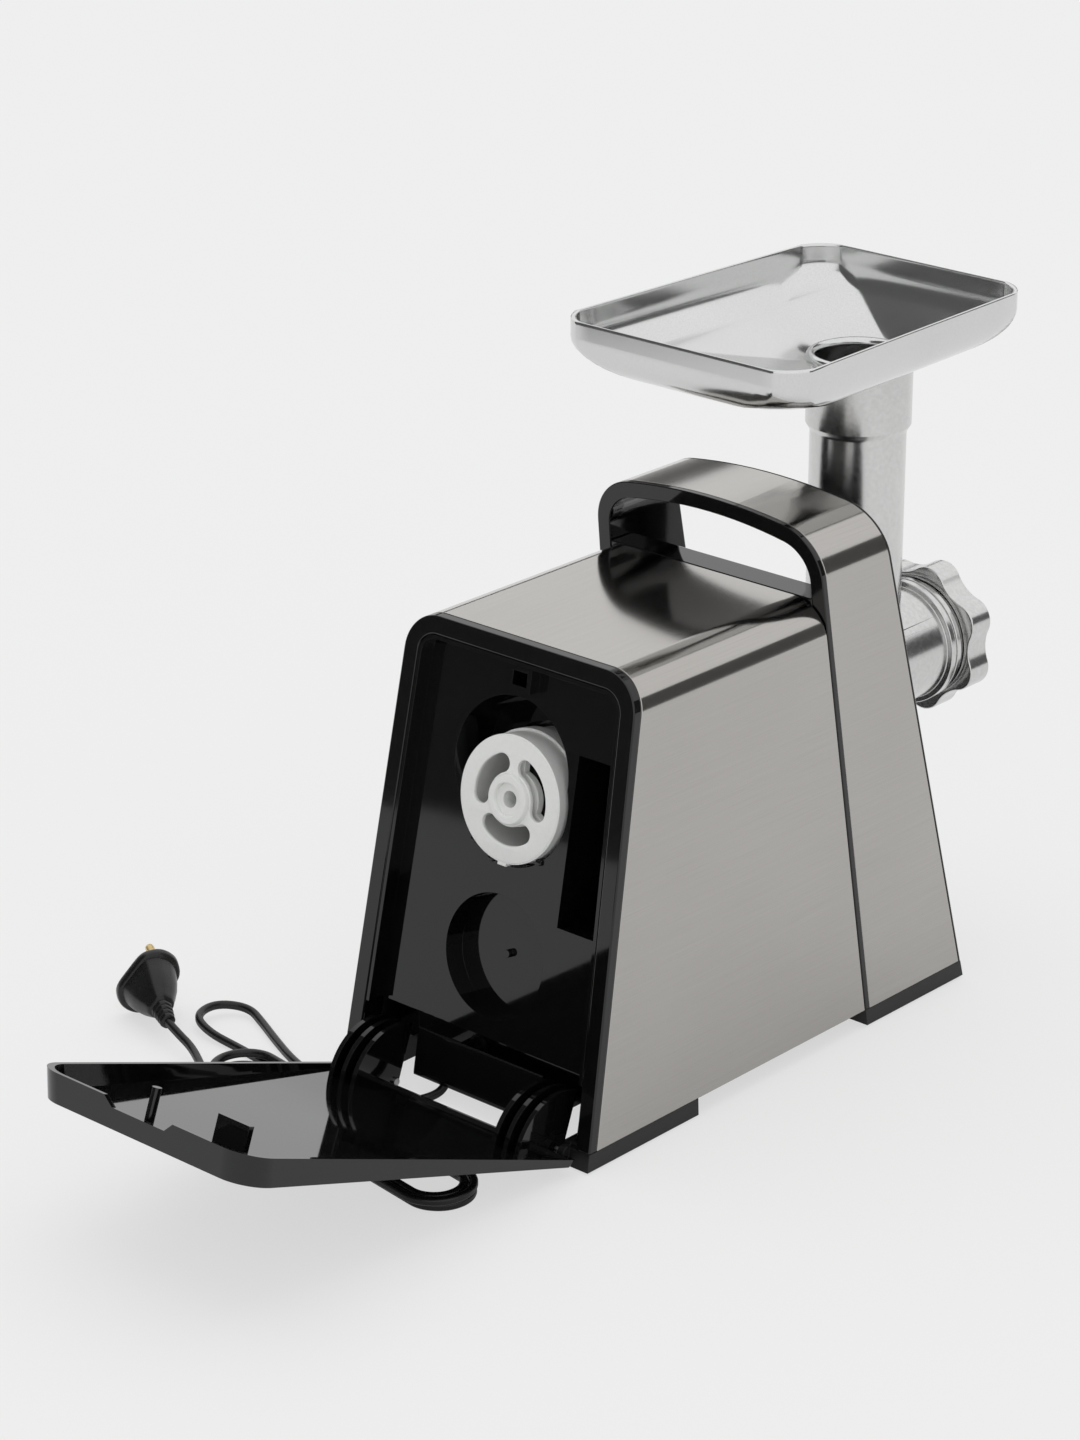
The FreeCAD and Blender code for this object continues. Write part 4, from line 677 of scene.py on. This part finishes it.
    def round_rows(self, radius: list[float] | np.ndarray, z: np.ndarray) -> list[np.ndarray]:
        """Circles about the throat's axis by radius and height, on the same columns as the outline."""
        away = unit(self.outline(0.0) - [0.0, self.throat_y])
        return [level([0.0, self.throat_y] + away * r, h) for r, h in zip(radius, z)]

    def dish(self) -> np.ndarray:
        """Neck, half-round bead, inner face, half-round rim and outer face, as one ring of rows.

        Returns:
            Rows of points (n, m, 3).
        """
        bore = self.neck_radius - self.sheet
        floor_z = self.throat_z + self.sheet
        swing = np.linspace(np.pi, 0.0, 11)[:-1]
        middle, half = (self.bead_radius + bore) / 2, (self.bead_radius - bore) / 2
        neck = self.round_rows([bore] * 4, np.linspace(self.neck_low, floor_z - self.neck_gap, 4))
        bead = self.round_rows(middle + half * np.cos(swing), floor_z + self.bead_height * np.sin(swing))
        inner = self.surface(self.sheet, self.sheet)
        outer = self.surface(0.0, 0.0)
        edge = self.sheet / 2
        rim = [level(self.outline(edge + edge * math.cos(a)), self.rim_z - edge + edge * math.sin(a))
               for a in np.linspace(0, np.pi, 7)[1:-1]]
        under = self.round_rows([self.neck_radius] * 3, np.linspace(self.throat_z, self.neck_low, 3))
        return np.stack(neck + bead + inner + rim + outer[::-1] + under)

    def build(self) -> None:
        """Add the tray."""
        add_grid("tray_dish", self.dish(), "tray", SPUN, "hopper_tray", ring=True, sharp=50.0)


@dataclass
class MainsCord:
    """Twin lead from the gland, folded into a hank, with its moulded plug.

    The plug's stations give the distance along it and half of its long and of its short side, the pin's
    profile the distance and a share of its radius.
    """

    width: float = 4.4
    thick: float = 4.5
    groove: float = 0.2
    groove_half: float = 0.55
    ground: float = 2.25
    lead: tuple[Point, ...] = (
        (24, 123, 20), (24, 128.5, 20), (24.4, 132.5, 14), (25, 135.5, 3.6), (28, 148, 2.25), (37, 160, 2.25),
        (56, 167, 2.25), (82, 166.5, 2.25), (106, 160, 2.25), (128, 150, 2.25), (148, 140, 2.25),
        (164.4, 134, 4.25), (177.8, 145.3, 6.25), (174.8, 162.5, 6.25), (158.4, 168.5, 4.25), (138, 168, 2.25))
    hank_centre: Pair = (35.0, 200.5)
    hank_heading: float = 171.5
    half_run: float = 78.0
    runs: tuple[float, ...] = (-17.4, 15.0, -12.6, 15.0, -17.4, 19.8)
    layers: tuple[int, ...] = (0, 0, 1, 1, 1, 1)
    layer_height: float = 4.8
    entry: float = 14.0
    leave: float = 6.0
    tail: tuple[Point, ...] = (
        (132.0, 199.5, 6.6), (148.0, 190.6, 7.6), (159.5, 188.6, 10.4), (168.4, 187.2, 13.6))
    route_steps: int = 8
    plug_heading: Point = (0.868, -0.486, 0.108)
    plug_long: Point = (-0.3725, -0.4895, 0.788)
    plug_cut: float = 0.766
    plug_power: int = 12
    rib: tuple[Point, ...] = (
        (0.0, 3.3, 3.1), (0.5, 3.9, 3.6), (2.3, 4.0, 3.7), (2.7, 3.4, 3.2), (3.3, 3.4, 3.2))
    rib_step: Point = (3.4, 0.42, 0.36)
    rib_count: int = 4
    moulding: tuple[Point, ...] = (
        (14.2, 6.2, 5.6), (15.0, 6.8, 6.2), (17.0, 7.6, 6.8), (21.0, 9.6, 8.2), (26.0, 12.0, 9.6),
        (32.0, 14.2, 10.6), (37.6, 15.6, 11.2), (38.4, 16.0, 11.4), (38.8, 17.4, 12.2), (39.3, 18.2, 12.7),
        (40.2, 18.7, 12.9), (42.6, 19.0, 13.0), (43.5, 18.7, 12.7), (44.0, 18.0, 12.0))
    pin_radius: float = 2.4
    pin_span: float = 9.5
    pin_profile: tuple[Pair, ...] = ((43.0, 1.0), (60.4, 1.0), (61.8, 0.93), (62.6, 0.72), (63.0, 0.4))
    tie_place: float = 6.0
    tie_half: float = 2.0
    tie_thick: float = 0.25
    tie_slack: float = 2.0
    tie_low: float = 0.05
    tie_floor: float = 0.02
    tie_over: float = 2.4
    tie_power: float = 5.0
    gland: Eased = ("cord_gland", SATIN, 0.3, 2)
    length: float = 1523.0

    def hank_point(self, run: np.ndarray, side: np.ndarray, z: float) -> np.ndarray:
        """Points of the hank at one height.

        Args:
            run: Distances along the hank.
            side: Distances across it.
            z: The height.

        Returns:
            Points (n, 3).
        """
        turn = math.radians(self.hank_heading)
        heading = np.array([math.cos(turn), math.sin(turn)])
        across = np.array([math.sin(turn), -math.cos(turn)])
        return level(np.array(self.hank_centre) + np.outer(run, heading) + np.outer(side, across), z)

    def hank_turns(self) -> np.ndarray:
        """Control points of the folds: each half turn is five sides of an eight-sided frame about its circle.

        Returns:
            Points (n, 3).
        """
        eighth = 360.0 / 8
        swing = np.radians(eighth * np.arange(-2.5, 3))
        folds = []
        for k, (here, there) in enumerate(zip(self.runs, self.runs[1:])):
            way = 1 if k % 2 == 0 else -1
            reach = abs(there - here) / 2 / math.cos(math.radians(eighth / 2))
            z = self.ground + self.layer_height * self.layers[k]
            folds.append(self.hank_point(way * (self.half_run + reach * np.cos(swing)),
                                         (here + there) / 2 + np.sign(there - here) * reach * np.sin(swing), z))
        return np.concatenate(folds)

    def route(self) -> np.ndarray:
        """Control points from the gland to the plug's neck.

        Returns:
            Points (n, 3) in millimetres.
        """
        top = self.ground + self.layer_height
        first = self.hank_point(np.array([-self.half_run - self.entry]), np.array([self.runs[0]]), self.ground)
        last = self.hank_point(np.array([-self.half_run, -self.half_run - self.leave]),
                               np.full(2, self.runs[-1]), top)
        return np.concatenate([self.lead, first, self.hank_turns(), last, self.tail])

    def centreline(self) -> np.ndarray:
        """Points along the smooth spline whose control points are the route.

        Returns:
            Points (n, 3) in millimetres.
        """
        points = self.route() * MM
        curve = bpy.data.curves.new("cord_route", "CURVE")
        curve.dimensions = "3D"
        curve.resolution_u = self.route_steps
        spline = curve.splines.new("NURBS")
        spline.points.add(len(points) - 1)
        spline.points.foreach_set("co", np.column_stack([points, np.ones(len(points))]).ravel())
        spline.order_u = 3
        spline.use_endpoint_u = True
        holder = bpy.data.objects.new("cord_route", curve)
        line = bpy.data.meshes.new_from_object(holder)
        found = raw_points(line) / MM
        bpy.data.objects.remove(holder)
        bpy.data.curves.remove(curve)
        bpy.data.meshes.remove(line)
        return found

    def sheath(self, path: np.ndarray) -> np.ndarray:
        """Twin section carried along the path.

        The section is an oval, (thick/2 * cos a, width/2 * sin a), drawn in by a groove along the
        middle of each broad face; it stands on edge, across the path and upward.

        Args:
            path: Centreline points (n, 3).

        Returns:
            Rows of points (n, m, 3).
        """
        ahead = unit(np.gradient(path, axis=0))
        side = unit(np.cross(ahead, [0.0, 0.0, 1.0]))
        rise = np.cross(side, ahead)
        turn = full_turn(20)
        high = self.width / 2 * np.sin(turn)
        drawn = 1 - self.groove * np.exp(-(high / self.groove_half) ** 2)
        broad = self.thick / 2 * np.cos(turn) * drawn
        return path[:, None] + side[:, None] * broad[None, :, None] + rise[:, None] * high[None, :, None]

    def at_plug(self, along: np.ndarray, long: np.ndarray, short: np.ndarray) -> np.ndarray:
        """Points in the plug's own directions.

        Args:
            along: Distances along its axis.
            long: Distances along its face's long side.
            short: Distances along its face's short side.

        Returns:
            Rows of points (n, m, 3).
        """
        ahead = unit(np.array(self.plug_heading))
        side = unit(np.array(self.plug_long) - np.dot(self.plug_long, ahead) * ahead)
        rise = np.cross(ahead, side)
        neck = np.array(self.tail[-1])
        return neck + along[..., None] * ahead + long[..., None] * side + short[..., None] * rise

    def plug(self) -> np.ndarray:
        """Moulded plug: rounded-oblong sections along its axis.

        A section at distance x is (|y|/w)^p + (|z|/t)^p + ((|y|+|z|)/(k(w+t)))^p = 1, an oblong
        with cut and rounded corners, its halves w and t read from a row of stations; the neck's
        stations swell and shrink into ribs.

        Returns:
            Rows of points (n, m, 3).
        """
        ribs = [np.array(self.rib) + np.array(self.rib_step) * k for k in range(self.rib_count)]
        stations = np.concatenate([*ribs, self.moulding])
        halves = stations[:, 1:]
        turn = full_turn(72)
        wide, tall = np.abs(np.cos(turn)), np.abs(np.sin(turn))
        cut = (wide + tall) / (self.plug_cut * halves.sum(1, keepdims=True))
        terms = (wide / halves[:, :1], tall / halves[:, 1:], cut)
        reach = sum(term ** self.plug_power for term in terms) ** (-1 / self.plug_power)
        return self.at_plug(stations[:, :1], reach * np.cos(turn), reach * np.sin(turn))

    def pin(self, place: float) -> np.ndarray:
        """Round pin with a domed tip: radius over distance from a short table, turned about its axis.

        Args:
            place: Distance from the plug's axis along its long side.

        Returns:
            Rows of points (n, m, 3).
        """
        profile = np.array(self.pin_profile)
        turn = full_turn(24)
        radius = self.pin_radius * profile[:, 1:]
        return self.at_plug(profile[:, :1], place + radius * np.cos(turn), radius * np.sin(turn))

    def tie(self) -> np.ndarray:
        """Narrow strip round the middle of the hank: |across/a|^p + |up/b|^p = 1 with a thin oblong section.

        Returns:
            Rows of points (n, m, 3).
        """
        turn = full_turn(72)
        sideways, upward = (signed_power(wave, 2 / self.tie_power) for wave in (np.cos(turn), np.sin(turn)))
        low, high = self.tie_low, self.ground + self.layer_height + self.tie_over
        middle = (self.runs[0] + self.runs[-1]) / 2
        half = (self.runs[-1] - self.runs[0]) / 2 + self.tie_slack
        rows = []
        for out, along in ((0.0, -1), (self.tie_thick, -1), (self.tie_thick, 1), (0.0, 1)):
            run = np.full(len(turn), self.tie_place + self.tie_half * along)
            row = self.hank_point(run, middle + (half + out) * sideways, 0.0)
            row[:, 2] = np.maximum((low + high) / 2 + ((high - low) / 2 + out) * upward, self.tie_floor)
            rows.append(row)
        return np.stack(rows)

    def build(self) -> None:
        """Add the cord, its tie and its plug."""
        path = self.centreline()
        cord = add_grid("mains_cord", self.sheath(path), "body", SHEATH, "cord_lead", "cord_hank", "cord_tail",
                        sharp=60.0)
        plug = add_grid("plug_moulding", self.plug(), "body", SHEATH, "plug_body", sharp=48.0)
        pins = [add_grid("plug_pin_0", self.pin(-self.pin_span), "body", BRASS, "plug_pins"),
                add_grid("plug_pin_1", self.pin(self.pin_span), "body", BRASS)]
        tie = add_grid("cord_tie", self.tie(), "body", SATIN, ring=True)
        eased_copy(*self.gland)
        self.width * MM


@dataclass
class BodyShell:
    """Base, steel wrap, rear bezel and the front unit with its handle; shares of the screw are of its radius."""

    eased: tuple[Eased, ...] = (
        ("base_plate", SATIN, 0.5, 2), ("rubber_feet", RUBBER, 0.6, 2), ("rear_wrap", STEEL, 0.35, 2),
        ("rear_bezel", GLOSS, 0.8, 3), ("front_housing", GLOSS, 0.6, 2), ("handle_frame", GLOSS, 0.5, 2),
        ("handle_band", STEEL, 0.35, 2), ("head_collar", CAST, 0.4, 2))
    screw_places: tuple[Pair, ...] = ((-66.0, -100.0), (66.0, -100.0), (-66.0, 10.0), (66.0, 10.0))
    seat_z: float = 10.0
    screw_radius: float = 3.4
    screw_rise: float = 1.5
    screw_rows: tuple[float, ...] = (0.0, 0.12, 0.22, 0.34, 0.44, 0.5, 0.56, 0.72, 0.88, 0.97, 1.0)
    screw_fall: float = 0.45
    cross_depth: float = 1.1
    cross_half: float = 0.2
    cross_reach: float = 0.54
    cross_slope: float = 0.08
    edge_height: float = 0.15
    sink: float = 0.2

    def screw(self, x: float, y: float) -> np.ndarray:
        """Pan head with a cross recess, facing down: height falls with the square of the radius.

        Args:
            x: Centre.
            y: Centre.

        Returns:
            Rows of points (n, m, 3).
        """
        turn = full_turn(32)
        share = np.array(self.screw_rows)[:, None]
        arm = np.abs(np.sin(2 * turn)) * share
        recess = (np.clip((self.cross_half - arm) / self.cross_slope, 0, 1)
                  * np.clip((self.cross_reach - share) / self.cross_slope, 0, 1))
        depth = self.screw_rise * (1 - self.screw_fall * share ** 2) - self.cross_depth * recess
        depth[-1] = self.edge_height
        radius = self.screw_radius * share
        head = np.stack([x + radius * np.cos(turn), y + radius * np.sin(turn), self.seat_z - depth], axis=-1)
        seat = head[-1:].copy()
        seat[..., 2] = self.seat_z + self.sink
        foot = np.broadcast_to(np.array([x, y, self.seat_z + self.sink]), seat.shape)
        return np.concatenate([head, seat, foot])

    def build(self) -> None:
        """Dress the shell and add the screws under the base."""
        for row in self.eased:
            eased_copy(*row)
        dress_node("motor_carcass", SATIN)
        for k, place in enumerate(self.screw_places):
            add_grid(f"base_screw_{k}", self.screw(*place), "body", TOOL, sharp=30.0)


@dataclass
class StorageRear:
    """Storage panel, the attachment kept in it and the open door; places are across, out of and up the rear face."""

    panel: tuple[Eased, ...] = (("storage_liner", GLOSS, 0.5, 2), ("kubbe_disc", WHITE, 0.7, 3))
    door: tuple[Eased, ...] = (("rear_door", GLOSS, 0.7, 3), ("hinge_pins", TOOL, 0.0, 2))
    lean: float = 10.57
    rear_y: float = 150.0
    recess: float = 9.0
    seat_rise: float = 165.5
    seat_radius: float = 34.5
    disc_rise: float = 164.6
    disc_face: float = -6.0
    plate_radius: float = 31.4
    plate_depth: float = 2.6
    plate_ease: float = 0.6
    ease_steps: int = 2
    proud: float = 0.3
    window_radius: float = 18.2
    window_half: float = 4.7
    window_reach: float = 36.0
    slot_turns: tuple[float, ...] = (150.0, 270.0, 30.0)
    boss_radius: float = 8.4
    hub_profile: tuple[Pair, ...] = ((8.2, -1.0), (8.2, 1.5), (8.7, 2.0), (11.6, 2.0), (12.4, 1.3), (13.0, -1.0))
    sill_half: float = 41.0
    sill_thick: float = 1.2
    sill_out: float = -8.6
    sill_rise: float = 23.5
    sill_height: float = 25.0
    sill_power: float = 6.0
    lug_turns: tuple[float, ...] = (-128.0, -75.0, -52.0)
    lug_half: Point = (1.8, 1.1, 1.3)
    lug_lift: float = 0.4
    lug_power: float = 0.35

    def on_rear(self, points: np.ndarray) -> np.ndarray:
        """Turn points drawn upright onto the leaning rear face.

        Args:
            points: Distances across, out and up (..., 3).

        Returns:
            Points (..., 3).
        """
        lean = math.radians(self.lean)
        x, out, up = points[..., 0], points[..., 1], points[..., 2]
        return np.stack([x, self.rear_y + out * math.cos(lean) - up * math.sin(lean),
                         out * math.sin(lean) + up * math.cos(lean)], axis=-1)

    def lug(self, degrees: float) -> np.ndarray:
        """Soft-cornered block at the seat's edge: a superellipsoid, each axis a signed power of sine or cosine.

        Args:
            degrees: Angle round the seat.

        Returns:
            Rows of points (n, m, 3).
        """
        place = math.radians(degrees)
        centre = np.array([self.seat_radius * math.cos(place), self.lug_lift - self.recess,
                           self.seat_rise + self.seat_radius * math.sin(place)])
        lift = np.linspace(-np.pi / 2, np.pi / 2, 13)[:, None]
        turn = full_turn(24)[None, :]
        raw = np.stack([np.cos(turn) + 0 * lift, np.sin(turn) + 0 * lift, np.sin(lift) + 0 * turn], axis=-1)
        shape = signed_power(raw, self.lug_power)
        shape[..., :2] *= np.cos(lift)[..., None] ** self.lug_power
        return self.on_rear(centre + shape * np.array(self.lug_half))

    def loops(self) -> list[np.ndarray]:
        """Outlines of the attachment's face plate: rim, boss hole and three bent slots with round ends.

        A slot of half-width h about the radius r runs through the angles -a..a from its middle: arcs
        of radius r + h and r - h, joined by half circles of radius h about the slot's two ends. The
        points are worked out as complex numbers.

        Returns:
            Closed outlines of points (n, 2).
        """
        circle = np.exp(1j * full_turn(96))
        reach = math.radians(self.window_reach)
        sweep = np.linspace(-reach, reach, 25)
        half = np.linspace(0, np.pi, 13)
        cap = self.window_radius * np.exp(1j * reach) + self.window_half * np.exp(1j * (reach + half))
        outer = (self.window_radius + self.window_half) * np.exp(1j * sweep)
        inner = (self.window_radius - self.window_half) * np.exp(1j * sweep[::-1])
        slot = np.concatenate([outer[:-1], cap[:-1], inner[:-1], np.conj(cap)[::-1][:-1]])
        slots = [slot * np.exp(1j * math.radians(angle)) for angle in self.slot_turns]
        return [np.column_stack([loop.real, loop.imag])
                for loop in (self.plate_radius * circle, self.boss_radius * circle, *slots)]

    def face_plate(self) -> bpy.types.Mesh:
        """The attachment's face: flat outlines filled and given a soft-edged thickness.

        Returns:
            The mesh in metres.
        """
        curve = bpy.data.curves.new("disc_face", "CURVE")
        curve.dimensions = "2D"
        curve.fill_mode = "BOTH"
        curve.bevel_depth = self.plate_ease
        curve.bevel_resolution = self.ease_steps
        curve.offset = -self.plate_ease
        curve.extrude = self.plate_depth / 2 - self.plate_ease
        for outline in self.loops():
            spline = curve.splines.new("POLY")
            spline.points.add(len(outline) - 1)
            flat = np.column_stack([outline, np.zeros(len(outline)), np.ones(len(outline))])
            spline.points.foreach_set("co", flat.ravel())
            spline.use_cyclic_u = True
        holder = bpy.data.objects.new("disc_face", curve)
        mesh = bpy.data.meshes.new_from_object(holder)
        bpy.data.objects.remove(holder)
        bpy.data.curves.remove(curve)
        across, up, out = raw_points(mesh).T
        front = self.disc_face + self.proud
        placed = self.on_rear(np.stack([across, front - self.plate_depth / 2 + out, self.disc_rise + up], axis=-1))
        mesh.vertices.foreach_set("co", (placed * MM).ravel())
        tidy_mesh(mesh, sharp=50.0)
        return mesh

    def hub(self) -> np.ndarray:
        """Raised collar about the boss: a short profile of radius and height, turned about the disc's axis.

        Returns:
            Rows of points (n, m, 3).
        """
        profile = np.array(self.hub_profile)
        turn = full_turn(64)
        points = np.stack([profile[:, :1] * np.cos(turn), self.disc_face + self.proud + profile[:, 1:] + 0 * turn,
                           self.disc_rise + profile[:, :1] * np.sin(turn)], axis=-1)
        return self.on_rear(points)

    def sill(self) -> np.ndarray:
        """Flat bar along the foot of the panel: a rounded oblong, |out/a|^p + |up/b|^p = 1, carried across.

        Returns:
            Rows of points (2, m, 3).
        """
        turn = full_turn(40)
        out, up = (signed_power(wave, 2 / self.sill_power) for wave in (np.cos(turn), np.sin(turn)))
        across = np.array([-self.sill_half, self.sill_half])[:, None]
        points = np.stack([across + 0 * turn, self.sill_out + self.sill_thick * out + 0 * across,
                           self.sill_rise + self.sill_height / 2 * up + 0 * across], axis=-1)
        return self.on_rear(points)

    def build(self) -> None:
        """Dress the panel, attachment and door, and add the small lugs round the seat."""
        for row in self.panel:
            eased_copy(*row)
        add_piece("disc_face", self.face_plate(), "body", WHITE)
        add_grid("disc_hub", self.hub(), "body", WHITE, ring=True)
        add_grid("rear_sill", self.sill(), "body", GLOSS, sharp=50.0)
        for row in self.door:
            eased_copy(*row)
        for k, degrees in enumerate(self.lug_turns):
            add_grid(f"seat_lug_{k}", self.lug(degrees), "body", GLOSS)


@dataclass
class GrindingHead:
    """Feed tube and barrel with the screw, knife, plate and ring nut.

    Attributes:
        mouth_from: Heights along the feed tube on the solid.
        mouth_to: The same heights as dressed, with a longer mouth up to the tray.
    """

    mouth_from: tuple[float, ...] = (0.0, 260.0, 281.0, 308.0)
    mouth_to: tuple[float, ...] = (0.0, 260.0, 288.5, 321.0)
    casting: Eased = ("grinder_head", ALLOY, 0.5, 2)
    eased: tuple[Eased, ...] = (
        ("ring_nut", ALLOY, 0.9, 3), ("cutting_plate", TOOL, 0.3, 2), ("knife", TOOL, 0.2, 2))

    def raise_mouth(self, mesh: bpy.types.Mesh) -> None:
        """Draw the tube's mouth up: z' follows z piece by piece from mouth_from to mouth_to.

        Args:
            mesh: The casting's mesh.
        """
        points = raw_points(mesh)
        points[:, 2] = np.interp(points[:, 2] / MM, self.mouth_from, self.mouth_to) * MM
        mesh.vertices.foreach_set("co", points.ravel())
        mesh.update()

    def build(self) -> None:
        """Dress the head's pieces."""
        self.raise_mouth(eased_copy(*self.casting).data)
        for row in self.eased:
            eased_copy(*row)
        dress_node("auger", ALLOY)


@dataclass
class Controls:
    """Switch on the side and release button on the front."""

    eased: tuple[Eased, ...] = (
        ("switch_bezel", GLOSS, 0.5, 2), ("power_rocker", SATIN, 0.5, 2), ("reverse_button", SATIN, 0.4, 2),
        ("release_button", GLOSS, 0.5, 2))

    def build(self) -> None:
        """Dress the switch and the buttons."""
        for row in self.eased:
            eased_copy(*row)
        dress_node("switch_body", SATIN)


@dataclass
class DriveTrain:
    """Gears, shafts and motor inside the shell."""

    inner: tuple[tuple[Finish, tuple[str, ...]], ...] = (
        (NYLON, ("first_gear", "second_gear", "cooling_fan")),
        (TOOL, ("motor_pinion", "output_gear", "output_shaft", "first_layshaft", "second_layshaft", "motor_shaft",
                "armature", "motor_stator", "motor_bearings")),
        (CAST, ("gearbox_case", "gearbox_cover", "motor_cradle", "motor_rear_bracket")),
        (BRASS, ("output_bush", "brush_holders")),
        (COPPER, ("field_coils", "commutator")),
        (CARBON, ("carbon_brushes",)))

    def build(self) -> None:
        """Dress the inner pieces."""
        for finish, nodes in self.inner:
            for node in nodes:
                dress_node(node, finish)


def main() -> None:
    """Build the stage and the object, piece by piece."""
    logging.basicConfig(level=logging.INFO, format="%(name)s: %(message)s")
    for section in (Studio(), MainsCord(), BodyShell(), StorageRear(), GrindingHead(), HopperTray(), Controls(),
                    DriveTrain()):
        LOG.info("building %s", type(section).__name__)
        section.build()


if __name__ == "__main__":
    main()
